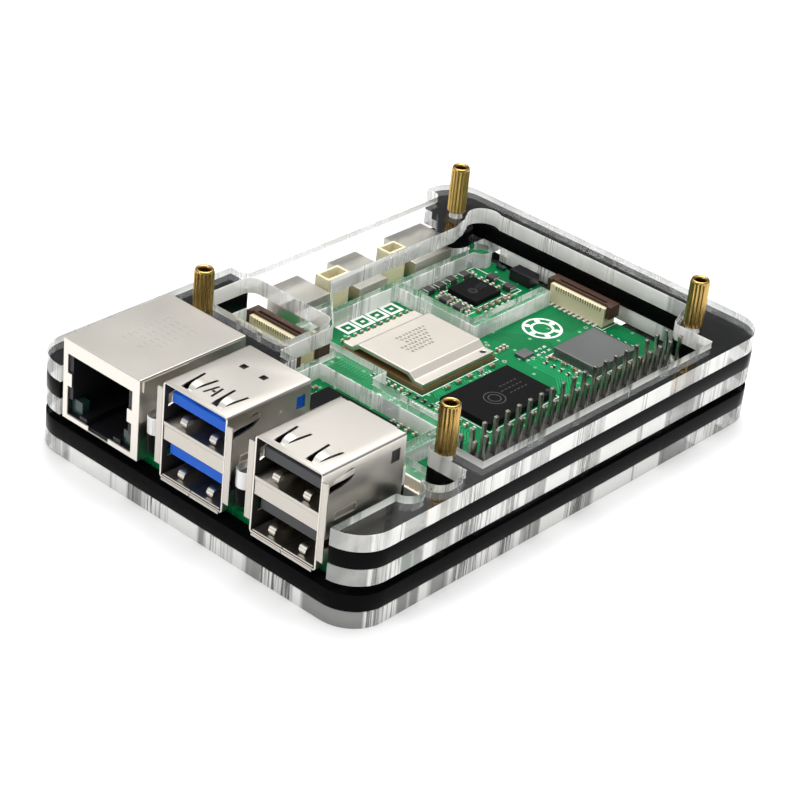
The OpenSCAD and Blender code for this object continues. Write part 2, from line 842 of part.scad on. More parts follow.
module power_button_body() {
    half = button_size[1] / 2;
    color([0.09, 0.09, 0.1]) difference() {
        block([0.05, button_y - half, 0], [button_size[0], button_y + half, button_size[2]]);
        block([-1, button_y - plunger_w / 2 - run_gap, plunger_z[0] - run_gap],
              [0.05 + plunger_in + button_travel + run_gap, button_y + plunger_w / 2 + run_gap,
               plunger_z[1] + run_gap]);
    }
}

module power_button_plunger() {
    color([0.85, 0.84, 0.8]) block([-plunger_out, button_y - plunger_w / 2, plunger_z[0]],
                                   [plunger_in, button_y + plunger_w / 2, plunger_z[1]]);
}

module status_light() {
    color([0.8, 0.85, 0.7]) block([0.4, 11.4, 0], [1.2, 13, 0.6]);
}

// ---------------------------------------------------------------- small parts

// Part lying flat on the board, centred on x and y
module small_part(x, y, size) {
    translate([x - size[0] / 2, y - size[1] / 2, 0]) cube(size);
}

module power_inductors() {
    color([0.12, 0.11, 0.11]) {
        for (at = [[16.9, 10.3], [14.3, 10.4], [11.3, 10.2], [8.2, 10.4]])
            small_part(at[0], at[1], [2, 1.6, 1]);
        for (at = [[5.1, 14], [5.4, 17.8], [17.1, 14.2], [17.3, 17.3]])
            small_part(at[0], at[1], [1.6, 2, 1]);
    }
}

module ceramic_capacitors() {
    color([0.55, 0.42, 0.28]) {
        for (i = [0:5]) small_part(7.2 + i * 1.6, 19.6, [0.6, 1.1, 0.6]);
        for (i = [0:3]) small_part(18.2 + i * 0.75, 21.2, [0.45, 0.9, 0.5]);
        for (i = [0:4]) small_part(27 + i * 2.6, 32.6, [1.1, 0.6, 0.6]);
        for (i = [0:4]) small_part(27 + i * 2.9, 46.2, [1.1, 0.6, 0.6]);
        for (i = [0:3]) small_part(17.6, 37.4 + i * 2.1, [0.6, 1.1, 0.6]);
        for (i = [0:2]) small_part(53.4 + i * 3, 20, [1.1, 0.6, 0.6]);
        for (i = [0:2]) small_part(19.6 + i * 3.1, 47.4, [1, 1.6, 1.2]);
    }
}

module chip_resistors() {
    color([0.12, 0.12, 0.13]) {
        for (i = [0:4]) small_part(5.6 + i * 1.4, 46.6, [0.5, 1, 0.35]);
        for (i = [0:3]) small_part(43.2, 30 + i * 1.5, [1, 0.5, 0.35]);
        for (i = [0:3]) small_part(54 + i * 1.8, 38.6, [0.5, 1, 0.35]);
        for (i = [0:3]) small_part(11 + i * 1.5, 23, [1, 0.5, 0.35]);
    }
}

module crystals() {
    color([0.7, 0.7, 0.7]) {
        small_part(20.2, 33.5, [2.5, 2, 0.6]);
        small_part(55, 47.5, [3.2, 2.5, 0.7]);
    }
}

// Card socket under the board, open towards the memory card edge
module memory_card_socket() {
    low = [1.4, board_w / 2 - 6.3, -board_t - 1.5];
    high = [13.4, board_w / 2 + 6.3, -board_t];
    color([0.75, 0.75, 0.74]) difference() {
        block(low, high);
        block(low + [-1, 0.6, 0.25], high - [0.6, 0.6, 0.35]);
    }
}

// ---------------------------------------------------------------- the whole model

board_frame() base_plate_clear();
board_frame() lower_black_layer();
board_frame() middle_clear_layer();
board_frame() upper_black_layer();
board_frame() top_clear_layer();
board_frame() standoffs();
board_frame() base_screws();
board_frame() circuit_board();
board_frame() processor_carrier();
board_frame() processor_die();
board_frame() processor_lid();
board_frame() memory_chip();
board_frame() io_controller_chip();
board_frame() power_management_chip();
board_frame() wireless_shield();
board_frame() network_shell();
board_frame() network_body();
board_frame() network_contacts();
board_frame() network_lights();
board_frame() usb_blue_shell();
board_frame() usb_blue_body();
board_frame() usb_blue_contacts();
board_frame() usb_black_shell();
board_frame() usb_black_body();
board_frame() usb_black_contacts();
board_frame() header_strip();
board_frame() header_pins();
board_frame() usb_c_shell();
board_frame() usb_c_tongue();
board_frame() video_shells();
board_frame() video_tongues();
board_frame() camera_socket();
board_frame() camera_latch();
board_frame() display_socket();
board_frame() display_latch();
board_frame() expansion_socket();
board_frame() expansion_latch();
board_frame() ribbon_contacts();
board_frame() clock_battery_socket();
board_frame() debug_socket();
board_frame() fan_socket();
board_frame() small_socket_pins();
board_frame() power_button_body();
board_frame() power_button_plunger();
board_frame() status_light();
board_frame() power_inductors();
board_frame() ceramic_capacitors();
board_frame() chip_resistors();
board_frame() crystals();
board_frame() memory_card_socket();
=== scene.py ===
"""Looks of a single board computer in a sandwich case of clear and black sheets."""
import json
import math

import bpy
import bmesh
import numpy as np
from mathutils import Euler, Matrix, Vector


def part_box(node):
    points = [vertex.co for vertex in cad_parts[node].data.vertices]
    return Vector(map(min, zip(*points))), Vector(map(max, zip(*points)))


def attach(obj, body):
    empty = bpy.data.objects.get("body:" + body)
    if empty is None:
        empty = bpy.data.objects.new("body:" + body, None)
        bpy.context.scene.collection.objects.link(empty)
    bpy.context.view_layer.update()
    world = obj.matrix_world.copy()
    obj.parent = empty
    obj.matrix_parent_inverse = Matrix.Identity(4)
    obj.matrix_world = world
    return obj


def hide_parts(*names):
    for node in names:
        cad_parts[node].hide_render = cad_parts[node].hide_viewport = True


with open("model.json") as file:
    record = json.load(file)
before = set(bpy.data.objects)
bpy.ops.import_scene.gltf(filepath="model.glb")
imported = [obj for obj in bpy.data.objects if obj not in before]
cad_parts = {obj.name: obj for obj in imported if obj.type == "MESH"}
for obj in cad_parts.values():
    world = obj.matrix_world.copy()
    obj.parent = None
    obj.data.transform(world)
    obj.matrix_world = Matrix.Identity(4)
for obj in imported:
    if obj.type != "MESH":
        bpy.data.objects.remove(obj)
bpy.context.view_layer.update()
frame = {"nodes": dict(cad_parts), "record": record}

# ---------------- studio
# A white table in a white room, as for a catalogue picture, with four soft lamps: above, at the
# sockets, on the pin header's side and behind. Nothing here is part of the object.
mm = 0.001
scene = bpy.context.scene
scene.view_settings.view_transform = "Standard"

camera_data = bpy.data.cameras.new("camera")
camera_data.lens = 109.36
camera_data.sensor_width = 36
camera_data.clip_start = 0.01
camera = bpy.data.objects.new("camera", camera_data)
camera.location = (0.24689, 0.20147, 0.19244)
camera.rotation_euler = Euler([math.radians(a) for a in (59.265, -5.243, 132.51)], "XYZ")
scene.collection.objects.link(camera)
scene.camera = camera


class Wiring:
    """Short calls that add nodes to one tree and wire them: numbers are set, sockets are linked."""

    def __init__(self, tree):
        self.tree = tree

    def feed(self, socket, value):
        """Links value to the socket if it is a socket, and sets it otherwise."""
        if isinstance(value, bpy.types.NodeSocket):
            self.tree.links.new(value, socket)
        elif value is not None:
            socket.default_value = value

    def node(self, kind, values, **settings):
        """One node of a kind: values go to its inputs, by name or number, settings to the node."""
        node = self.tree.nodes.new("ShaderNode" + kind)
        for key, value in settings.items():
            setattr(node, key, value)
        for key, value in values.items():
            self.feed(node.inputs[key], value)
        return node

    def math(self, operation, a, b=None, clamp=False):
        """One Math node."""
        return self.node("Math", {0: a, 1: b}, operation=operation, use_clamp=clamp).outputs[0]

    def raised(self, value, gain, base):
        """base + value * gain."""
        return self.math("ADD", base, self.math("MULTIPLY", value, gain))

    def steep(self, value, start, gain):
        """(value - start) * gain, kept between 0 and 1."""
        return self.math("MULTIPLY", self.math("SUBTRACT", value, start), gain, clamp=True)

    def share_out(self, share, a, b):
        """The number a * share + b * (1 - share)."""
        rest = self.math("MULTIPLY", b, self.math("SUBTRACT", 1.0, share))
        return self.math("ADD", self.math("MULTIPLY", a, share), rest)

    def mix(self, share, a, b):
        """Colour a where share is 0 and b where it is 1."""
        return self.node("Mix", {0: share, 6: a, 7: b}, data_type="RGBA").outputs[2]

    def noise(self, vector, scale, detail=3.0):
        """Noise between 0 and 1 at the given vector."""
        values = {"Vector": vector, "Scale": scale, "Detail": detail, "Roughness": 0.55}
        return self.node("TexNoise", values).outputs["Fac"]

    def split(self, vector):
        """The X, Y and Z of a vector."""
        return self.node("SeparateXYZ", {0: vector}).outputs

    def place(self):
        """Object coordinates, in metres from the origin of the model."""
        return self.node("TexCoord", {}).outputs["Object"]


def new_material(name):
    """A material with only its Principled shader, and the wiring for its tree."""
    material = bpy.data.materials.new(name)
    material.use_nodes = True
    return material, Wiring(material.node_tree), material.node_tree.nodes["Principled BSDF"]


def set_shader(shader, **values):
    """Sets the shader's inputs by name, with _ in place of a space."""
    for key, value in values.items():
        shader.inputs[key.replace("_", " ")].default_value = value


# the room is grey below the horizon and turns white a little above it
world = bpy.data.worlds.new("white_room")
world.use_nodes = True
scene.world = world
w = Wiring(world.node_tree)
ramp = w.node("ValToRGB", {0: w.split(w.node("TexCoord", {}).outputs["Generated"])[2]})
for stop, position, grey in zip(ramp.color_ramp.elements, (0.5, 0.62), (0.13, 1.0)):
    stop.position = position
    stop.color = (grey, grey, grey, 1)
w.feed(world.node_tree.nodes["Background"].inputs["Color"], ramp.outputs[0])


def soft_lamp(name, place, aim, size, watts, mirrored=True):
    """A square area lamp of the given side at place, turned so that it faces aim.

    An unmirrored lamp lights the object, but glossy surfaces don't show its square.
    """
    data = bpy.data.lights.new(name, "AREA")
    data.shape = "SQUARE"
    data.size = size
    data.energy = watts
    lamp = bpy.data.objects.new(name, data)
    lamp.location = place
    way = np.array(aim, float) - np.array(place, float)
    lamp.rotation_euler = (
        0, math.acos(-way[2] / np.linalg.norm(way)), math.atan2(-way[1], -way[0])
    )
    lamp.visible_glossy = mirrored
    scene.collection.objects.link(lamp)


soft_lamp("lamp_above", (-0.12, -0.08, 0.75), (0, 0, 0), 0.5, 3.4)
soft_lamp("lamp_sockets", (0.7, -0.25, 0.42), (0, 0, 0.01), 0.35, 1.6)
soft_lamp("lamp_header", (0.1, 0.8, 0.5), (0, 0, 0.01), 0.4, 1.7, mirrored=False)
soft_lamp("lamp_behind", (-0.45, -0.38, 0.82), (0, 0, 0), 0.5, 2.2)


def link_mesh(name, verts, faces, smooth=False, outward=False):
    """Puts points and faces into a new object at the origin.

    Outward turns the faces of each closed solid so that their normals point out of it.
    """
    mesh = bpy.data.meshes.new(name)
    points = np.asarray(verts, float).tolist()
    mesh.from_pydata(points, [], [[int(n) for n in face] for face in faces])
    if outward:
        work = bmesh.new()
        work.from_mesh(mesh)
        bmesh.ops.recalc_face_normals(work, faces=work.faces)
        work.to_mesh(mesh)
        work.free()
    mesh.polygons.foreach_set("use_smooth", [smooth] * len(mesh.polygons))
    mesh.update()
    piece = bpy.data.objects.new(name, mesh)
    scene.collection.objects.link(piece)
    return piece


table_half = 3.0
table_corners = [(x * table_half, y * table_half, 0) for x, y in ((-1, -1), (1, -1), (1, 1), (-1, 1))]
table = link_mesh("table", table_corners, [(0, 1, 2, 3)])
table_paint, w, shader = new_material("white_table")
set_shader(shader, Base_Color=(0.96, 0.96, 0.96, 1), Roughness=0.9, Specular_IOR_Level=0.1)
table.data.materials.append(table_paint)


# ---------------- circuit board
# Glass fibre board with a green lacquer over copper. The copper shows through as paler lines
# and dots. White lines are printed round the parts, and the screws clamp it between the sheets.


def new_group(name, inputs, outputs):
    """An empty node group with float, colour or vector sockets, given as (name, kind, value)."""
    kinds = {"f": "NodeSocketFloat", "c": "NodeSocketColor", "v": "NodeSocketVector"}
    group = bpy.data.node_groups.new(name, "ShaderNodeTree")
    for socket_name, kind, value in inputs:
        made = group.interface.new_socket(socket_name, in_out="INPUT", socket_type=kinds[kind])
        if kind != "v":
            made.default_value = value
    for socket_name, kind in outputs:
        group.interface.new_socket(socket_name, in_out="OUTPUT", socket_type=kinds[kind])
    return group, group.nodes.new("NodeGroupInput"), group.nodes.new("NodeGroupOutput")


def copper_group():
    """Green lacquer over copper: colour and height from three patterns in the board's plane.

    Square cells of a Voronoi pattern each pick a direction and hold parallel lines,
    x or y or x+y taken modulo the line pitch. Round dots stand for plated holes. A slow noise
    makes the copper areas a little paler than the bare areas.
    """
    group, inside, outside = new_group(
        "lacquer_over_copper",
        [("Bare", "c", (0, 0, 0, 1)), ("Copper", "c", (0, 0, 0, 1)), ("Plated", "c", (0, 0, 0, 1)),
         ("Pitch", "f", 0.0004)],
        [("Color", "c"), ("Height", "f"), ("Dot", "f")],
    )
    w = Wiring(group)
    spot = w.place()
    x, y, _ = w.split(spot)
    cells = w.node("TexVoronoi", {"Vector": spot, "Scale": 190}, distance="CHEBYCHEV",
                   voronoi_dimensions="2D")
    way, filled, _ = w.split(cells.outputs["Color"])
    slant = w.math("MULTIPLY", w.math("ADD", x, y), math.sqrt(0.5))
    across = w.math("GREATER_THAN", way, 0.45)
    askew = w.math("GREATER_THAN", way, 0.75)
    along = w.share_out(askew, slant, w.share_out(across, x, y))
    phase = w.math("FRACT", w.math("DIVIDE", along, inside.outputs["Pitch"]))
    line = w.math("LESS_THAN", phase, 0.45)
    line = w.math("MULTIPLY", line, w.math("GREATER_THAN", filled, 0.42))
    dots = w.node("TexVoronoi", {"Vector": spot, "Scale": 620}, voronoi_dimensions="2D")
    near = dots.outputs["Distance"]
    kept = w.math("GREATER_THAN", w.split(dots.outputs["Color"])[0], 0.8)
    dot = w.math("MULTIPLY", w.math("LESS_THAN", near, 0.16), kept)
    ring = w.math("MULTIPLY", w.math("LESS_THAN", near, 0.26), kept)
    pour = w.math("MULTIPLY", w.noise(spot, 160.0), 0.55)
    share = w.math("MAXIMUM", w.math("MULTIPLY", line, 0.8), pour, clamp=True)
    colour = w.mix(share, inside.outputs["Bare"], inside.outputs["Copper"])
    colour = w.mix(ring, colour, inside.outputs["Copper"])
    w.feed(outside.inputs["Color"], w.mix(dot, colour, inside.outputs["Plated"]))
    w.feed(outside.inputs["Height"], w.math("MAXIMUM", line, ring))
    w.feed(outside.inputs["Dot"], dot)
    return group


def add_bump(w, shader, height_socket, depth, strength=0.6):
    """A Bump node of the given depth in metres that feeds the shader's normal."""
    values = {"Distance": depth, "Strength": strength, "Height": height_socket}
    w.feed(shader.inputs["Normal"], w.node("Bump", values).outputs[0])


def use_group(w, group, **values):
    """One group node with its inputs set by name."""
    return w.node("Group", values, node_tree=group)


def grain_group():
    """Fine mottling: colour, roughness and height that follow two noises of one scale."""
    group, inside, outside = new_group(
        "fine_grain",
        [("Color", "c", (0.5, 0.5, 0.5, 1)), ("Spread", "f", 0.1), ("Roughness", "f", 0.4),
         ("Unevenness", "f", 0.1), ("Scale", "f", 3000.0)],
        [("Color", "c"), ("Roughness", "f"), ("Height", "f")],
    )
    w = Wiring(group)
    spot = w.place()
    fine = w.noise(spot, inside.outputs["Scale"])
    slow = w.noise(spot, w.math("MULTIPLY", inside.outputs["Scale"], 0.06))
    off = w.math("MULTIPLY", w.math("SUBTRACT", fine, 0.5), inside.outputs["Spread"])
    gain = w.raised(off, 2.0, 1.0)
    scaled = w.node("VectorMath", {0: inside.outputs["Color"], "Scale": gain}, operation="SCALE")
    w.feed(outside.inputs["Color"], scaled.outputs[0])
    rough = w.math("MULTIPLY", w.math("SUBTRACT", slow, 0.5), inside.outputs["Unevenness"])
    w.feed(outside.inputs["Roughness"], w.math("ADD", inside.outputs["Roughness"], rough, clamp=True))
    w.feed(outside.inputs["Height"], fine)
    return group


fine_grain = grain_group()


def grained(name, colour, roughness, metallic=0.0, spread=0.1, unevenness=0.12, scale=3000.0,
            depth=0.00001, **sockets):
    """A material whose colour, roughness and bump come from the fine grain group."""
    material, w, shader = new_material(name)
    node = use_group(w, fine_grain, Color=(*colour, 1), Spread=spread, Roughness=roughness,
                     Unevenness=unevenness, Scale=scale)
    w.feed(shader.inputs["Base Color"], node.outputs["Color"])
    w.feed(shader.inputs["Roughness"], node.outputs["Roughness"])
    set_shader(shader, Metallic=metallic, **sockets)
    if depth:
        add_bump(w, shader, node.outputs["Height"], depth)
    return material


board_green, w, shader = new_material("green_lacquer")
layer = use_group(w, copper_group(), Bare=(0.0, 0.098, 0.03, 1), Copper=(0.0, 0.24, 0.072, 1),
                  Plated=(0.25, 0.42, 0.25, 1), Pitch=0.0005)
w.feed(shader.inputs["Base Color"], layer.outputs["Color"])
set_shader(shader, Roughness=0.34, Coat_Weight=0.05, Specular_IOR_Level=0.12, Coat_Roughness=0.12)
add_bump(w, shader, layer.outputs["Height"], 0.00003)


def round_edges(piece, width, segments=2, limit=30):
    """A bevel of the given width in metres on edges that bend by more than limit degrees."""
    bevel = piece.modifiers.new("edge", "BEVEL")
    bevel.width = width
    bevel.segments = segments
    bevel.limit_method = "ANGLE"
    bevel.angle_limit = math.radians(limit)
    return bevel


def finish_nodes(*rows):
    """Gives CAD nodes their looks: a row is (node, material, bevel in millimetres, segments).

    Without a bevel the node keeps its sharp edges, and without segments the bevel has two.
    """
    for node, material, width, *segments in rows:
        piece = frame["nodes"][node]
        piece.data.materials.clear()
        piece.data.materials.append(material)
        if width:
            piece.modifiers.new("weld", "WELD").merge_threshold = 1e-6
            round_edges(piece, width * mm, *segments)


finish_nodes(("circuit_board", board_green, 0))

board_low, board_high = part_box("circuit_board")
board_corner = np.array([board_low.x, board_low.y, board_high.z])


def at_board(points):
    """Points in millimetres from the board's card side corner and top face, in metres."""
    return np.asarray(points, float) * mm + board_corner


def ride_as(piece, material, slot, *nodes):
    """Gives a new piece its material, puts it on the computer's body, and hides the nodes that it stands
    for. The slot is not used.
    """
    piece.data.materials.append(material)
    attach(piece, "computer")
    if nodes:
        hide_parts(*nodes)
    return piece


def node_span(node):
    """A node's lowest and highest corner in the board's millimetres."""
    low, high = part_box(node)
    return (np.array(low) - board_corner) / mm, (np.array(high) - board_corner) / mm


def printed(name, loops, lines, width, material, thick=0.015, z=0.0, slot="green_solder_mask"):
    """Thin raised lines along flat paths: closed loops, and open lines with square ends.

    At each path point the strip's two sides lie at the point plus or minus half the width times
    the mean of the normals of the two legs, lengthened by 1 / cos of half the bend.
    """
    verts, faces, start = [], [], 0
    for path, closed in [(loop, True) for loop in loops] + [(line, False) for line in lines]:
        line = np.asarray(path, float)
        after = np.roll(line, -1, 0) - line
        if not closed:
            after[-1] = after[-2]
        before = np.roll(after, 1, 0)
        if not closed:
            before[0] = after[0]
        after /= np.linalg.norm(after, axis=1)[:, None]
        before /= np.linalg.norm(before, axis=1)[:, None]
        middle = after + before
        middle /= np.linalg.norm(middle, axis=1)[:, None]
        reach = width / 2 / np.maximum((middle * after).sum(1), 0.4)
        side = np.c_[-middle[:, 1], middle[:, 0]] * reach[:, None]
        ring = [np.c_[line + s * side, np.full(len(line), h)]
                for s, h in ((1, z + thick), (-1, z + thick), (-1, z), (1, z))]
        count = len(line)
        verts.append(np.stack(ring, 1).reshape(-1, 3))
        legs = np.arange(count if closed else count - 1)
        for k in range(4):
            a, b = legs * 4 + k, legs * 4 + (k + 1) % 4
            c, d = (legs + 1) % count * 4 + (k + 1) % 4, (legs + 1) % count * 4 + k
            faces.append(np.stack([a, d, c, b], 1) + start)
        if not closed:
            first = np.array([[0, 1, 2, 3]]) + start
            faces += [first, first[:, ::-1] + (count - 1) * 4]
        start += count * 4
    piece = link_mesh(name, at_board(np.concatenate(verts)), np.concatenate(faces))
    return ride_as(piece, material, slot)


def box_path(low, high):
    """The four corners of a flat rectangle."""
    return [(low[0], low[1]), (high[0], low[1]), (high[0], high[1]), (low[0], high[1])]


def round_path(centre, radius, steps=40):
    """Points round a circle."""
    angle = np.arange(steps) * 2 * np.pi / steps
    return np.c_[centre[0] + radius * np.cos(angle), centre[1] + radius * np.sin(angle)]


def dash(x, y, length):
    """A short line along X."""
    return [(x, y), (x + length, y)]


white_print = grained("white_print", (0.80, 0.82, 0.79), 0.6, spread=0.08, scale=5000.0)
outlines = []
for node, gap in (("processor_carrier", 0.35), ("memory_chip", 0.35), ("power_management_chip", 0.5),
                  ("wireless_shield", 0.3), ("header_strip", 0.25), ("io_controller_chip", 0.4),
                  ("camera_socket", 0.5), ("display_socket", 0.5), ("expansion_socket", 0.5),
                  ("fan_socket", 0.3), ("power_inductors", 0.4)):
    low, high = node_span(node)
    outlines.append(box_path(low - gap, high + gap))
printed("printed_outlines", outlines, [], 0.16, white_print)

# a row of plain framed squares, a target mark of rings, and short ticks in rows
frame_x = 24.3 + 3.35 * np.arange(4)
printed("printed_squares", [box_path((x, 8.9), (x + 2.5, 11.3)) for x in frame_x],
        [dash(x + 0.9, 10.1, 0.7) for x in frame_x], 0.55, white_print)
target_at = np.array([11.0, 29.6])
target = [round_path(target_at, radius) for radius in (3.1, 1.75)]
target += [round_path(target_at + 2.42 * np.array([math.cos(a), math.sin(a)]), 0.28, 12)
           for a in np.arange(6) * math.pi / 3]
printed("printed_target", target, [], 0.42, white_print)
ticks = []
for row_x, row_y, count, step in ((15.2, 33.5, 7, 1.0), (15.2, 34.6, 5, 1.3), (44.4, 31.0, 6, 0.8),
                                  (59.5, 42.3, 6, 0.9), (18.4, 46.4, 9, 0.9), (60.4, 53.3, 5, 0.8),
                                  (43.6, 12.9, 3, 0.8), (5.0, 9.6, 4, 0.9), (53.5, 20.7, 7, 0.9),
                                  (28.0, 33.1, 4, 0.7), (2.7, 21.0, 1, 0.8), (4.6, 46.9, 5, 0.8)):
    for k in range(count):
        x = row_x + k * step
        ticks.append(dash(x, row_y, step * (0.45 + 0.2 * (k % 2))))
        ticks.append(dash(x, row_y + 0.28, step * (0.3 + 0.3 * ((k + 1) % 2))))
printed("printed_ticks", [], ticks, 0.13, white_print)

# copper tracks that show through the lacquer: bundles that bend between the large chips
track_green = grained("lacquered_track", (0.0, 0.30, 0.10), 0.3, scale=4000.0,
                      Specular_IOR_Level=0.25)
tracks = [[(x, 31.5), (x, 32.4), (x + 0.5, 33.1), (x + 0.5, 34.3)] for x in 27.0 + 0.52 * np.arange(26)]
for k in range(12):
    y = 15.0 + 0.55 * k
    tracks.append([(24.2, y), (21.5 - 0.2 * k, y), (16.0, y + 3.2 + 0.1 * k),
                   (14.0, y + 3.2 + 0.1 * k)])
for k in range(10):
    x = 17.0 + 0.5 * k
    tracks.append([(x, 35.0), (x, 42.0 - 0.1 * k), (x + 3.4, 45.4 - 0.1 * k), (x + 3.4, 49.6)])
for y in 17.2 + 0.6 * np.arange(14):
    tracks.append([(42.1, y), (44.2, y), (45.6, y + 1.2), (47.2, y + 1.2)])
    tracks.append([(42.2, y + 18.0), (44.5, y + 18.0), (46.2, y + 19.6), (51.0, y + 19.6)])
printed("copper_tracks", [], tracks, 0.17, track_green, 0.012)

# tinned pads: rings round the screws, round test pads and rows of solder feet
tinned = grained("tinned_pad", (0.74, 0.72, 0.66), 0.3, metallic=1.0, scale=4000.0)
hole_pattern = next(m for m in frame["record"]["mounts"] if m["name"] == "standoff_threads")
hole_step = np.array([hole_pattern["dims"][key] for key in ("spacing_x_mm", "spacing_y_mm")]) * mm
hole_points = np.array(hole_pattern["pos_m"][:2]) + hole_step / 2 * [(-1, -1), (1, -1), (-1, 1), (1, 1)]
screw_pads = [round_path(centre, 2.2) for centre in (hole_points - board_corner[:2]) / mm]
printed("screw_pads", screw_pads, [], 1.5, tinned, 0.008)
test_pads = [round_path((51.6, 28.0 + 0.9 * k), 0.1, 8) for k in range(6)]
test_pads += [round_path((44.7 + 0.6 * i, 33.6 + 0.6 * j), 0.12, 8) for i in range(4) for j in range(8)]
test_pads += [round_path(spot, 0.3, 12)
              for spot in ((22.2, 27.6), (20.4, 33.9), (24.0, 32.7), (19.0, 21.0), (49.0, 29.0),
                           (21.0, 45.6), (60.8, 40.6), (13.4, 22.6), (43.6, 29.4), (5.2, 33.9))]
printed("test_pads", test_pads, [], 0.2, tinned, 0.02)


# ---------------- case sheets
# Five flat sheets cut by laser: clear, black, clear, black, clear from below. The cut edges are finely
# streaked, and painted light makes the clear ones near white. The screws and the standoffs clamp them on
# the board.


def cut_edge_group():
    """Marks of the laser on cut walls: Streak is noise stretched along Z by 1 / 0.03, and
    Wall is 1 on upright faces and 0 on flat ones, worked out as 1 - |Z of the normal|.
    """
    group, inside, outside = new_group(
        "cut_edge", [("Scale", "f", 2500.0)], [("Streak", "f"), ("Wall", "f")]
    )
    w = Wiring(group)
    drawn_out = {0: w.place(), 1: (1.0, 1.0, 0.03)}
    spot = w.node("VectorMath", drawn_out, operation="MULTIPLY").outputs[0]
    normal = w.split(w.node("NewGeometry", {}).outputs["True Normal"])
    wall = w.math("SUBTRACT", 1.0, w.math("ABSOLUTE", normal[2]), clamp=True)
    w.feed(outside.inputs["Streak"], w.noise(spot, inside.outputs["Scale"], detail=4.0))
    w.feed(outside.inputs["Wall"], wall)
    return group


cut_edge = cut_edge_group()


def lamp_through(material, tint):
    """Lets lamp rays through a clear material: tint is what is left of their light."""
    w = Wiring(material.node_tree)
    shadow = w.node("LightPath", {}).outputs["Is Shadow Ray"]
    solid = w.tree.nodes["Principled BSDF"].outputs[0]
    through = w.node("BsdfTransparent", {0: tint}).outputs[0]
    either = w.node("MixShader", {0: shadow, 1: solid, 2: through})
    w.feed(w.tree.nodes["Material Output"].inputs["Surface"], either.outputs[0])


acrylic_ior = 1.49
clear_face = grained("clear_sheet_face", (0.97, 0.985, 0.98), 0.012, spread=0.01, unevenness=0.02,
                     scale=300.0, depth=0, IOR=acrylic_ior, Transmission_Weight=1.0)
lamp_through(clear_face, (0.95, 0.97, 0.96, 1))

# cut walls: stretches of fine streaks take turns with plainer stretches. The streaks are the laser's
# marks; where they are bright the wall is painted near white and less clear, painted light caught in the
# cut edge.
clear_wall, w, shader = new_material("clear_sheet_cut_wall")
fine, broad, plain, busy = [use_group(w, cut_edge, Scale=scale).outputs["Streak"]
                            for scale in (2300.0, 260.0, 85.0, 140.0)]
streaks = w.math("ADD", w.math("MULTIPLY", fine, 0.5), w.math("MULTIPLY", broad, 0.5))
streaks_and_painted_edge_light = w.share_out(w.steep(busy, 0.50, 14.0), w.steep(streaks, 0.43, 11.0),
                   w.raised(w.steep(plain, 0.455, 26.0), 0.75, 0.25))
w.feed(shader.inputs["Base Color"], w.mix(streaks_and_painted_edge_light, (0.44, 0.445, 0.435, 1), (0.95, 0.945, 0.92, 1)))
w.feed(shader.inputs["Alpha"], w.raised(streaks_and_painted_edge_light, 0.46, 0.34))
w.feed(shader.inputs["Roughness"], w.raised(streaks_and_painted_edge_light, 0.2, 0.06))
set_shader(shader, IOR=acrylic_ior)
add_bump(w, shader, fine, 0.0001, 0.8)

black_sheet, w, shader = new_material("black_sheet")
edge = use_group(w, cut_edge, Scale=1600.0)
grain = use_group(w, fine_grain, Color=(0.003, 0.003, 0.0035, 1), Spread=0.05, Roughness=0.12,
                  Unevenness=0.12, Scale=900.0)
w.feed(shader.inputs["Base Color"], grain.outputs["Color"])
w.feed(shader.inputs["Roughness"], w.raised(edge.outputs["Wall"], 0.1, grain.outputs["Roughness"]))
set_shader(shader, IOR=acrylic_ior, Specular_IOR_Level=0.03)
add_bump(w, shader, w.math("MULTIPLY", edge.outputs["Streak"], edge.outputs["Wall"]), 0.00003, 0.4)


def vectors_of(items, key):
    """One vector of each vertex or face, as an array with three columns."""
    values = np.empty(len(items) * 3, np.float32)
    items.foreach_get(key, values)
    return values.reshape(-1, 3)


def sheet_piece(node, materials, edge_width=0.12 * mm, air=0.01 * mm):
    """A copy of a sheet with dissolved flats and fine round edges, its two faces moved in by air.

    The copy's heights are squeezed about their middle so that stacked sheets don't share a face:
    z becomes middle + (z - middle) * (1 - 2 * air / thickness). The first material goes on the
    two flat faces and the last on the walls.
    """
    low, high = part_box(node)
    mesh = frame["nodes"][node].data.copy()
    points = vectors_of(mesh.vertices, "co")
    middle = (low.z + high.z) / 2
    points[:, 2] = middle + (points[:, 2] - middle) * (1 - 2 * air / (high.z - low.z))
    mesh.vertices.foreach_set("co", points.ravel())
    work = bmesh.new()
    work.from_mesh(mesh)
    bmesh.ops.remove_doubles(work, verts=work.verts, dist=2e-6)
    bmesh.ops.dissolve_limit(work, angle_limit=math.radians(0.6), verts=work.verts,
                             edges=work.edges)
    work.to_mesh(mesh)
    work.free()
    mesh.materials.clear()
    for material in materials:
        mesh.materials.append(material)
    wall = np.abs(vectors_of(mesh.polygons, "normal")[:, 2]) < 0.5
    mesh.polygons.foreach_set("material_index", (wall * (len(materials) - 1)).astype(np.int32))
    mesh.polygons.foreach_set("use_smooth", wall)
    piece = bpy.data.objects.new(node + "_cut", mesh)
    scene.collection.objects.link(piece)
    round_edges(piece, edge_width, limit=40).material = len(materials) - 1
    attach(piece, "computer")
    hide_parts(node)


for node in ("base_plate_clear", "middle_clear_layer", "top_clear_layer"):
    sheet_piece(node, [clear_face, clear_wall])
for node in ("lower_black_layer", "upper_black_layer"):
    sheet_piece(node, [black_sheet])


# ---------------- standoffs
# Round brass standoffs, M2 inside, turned with a straight knurl and a plain chamfer at the top.
# They screw down on the screws that come up through the stack.
brass = grained("knurled_brass", (0.54, 0.36, 0.12), 0.24, metallic=1.0,
                unevenness=0.2, scale=1800.0, depth=0.000003)


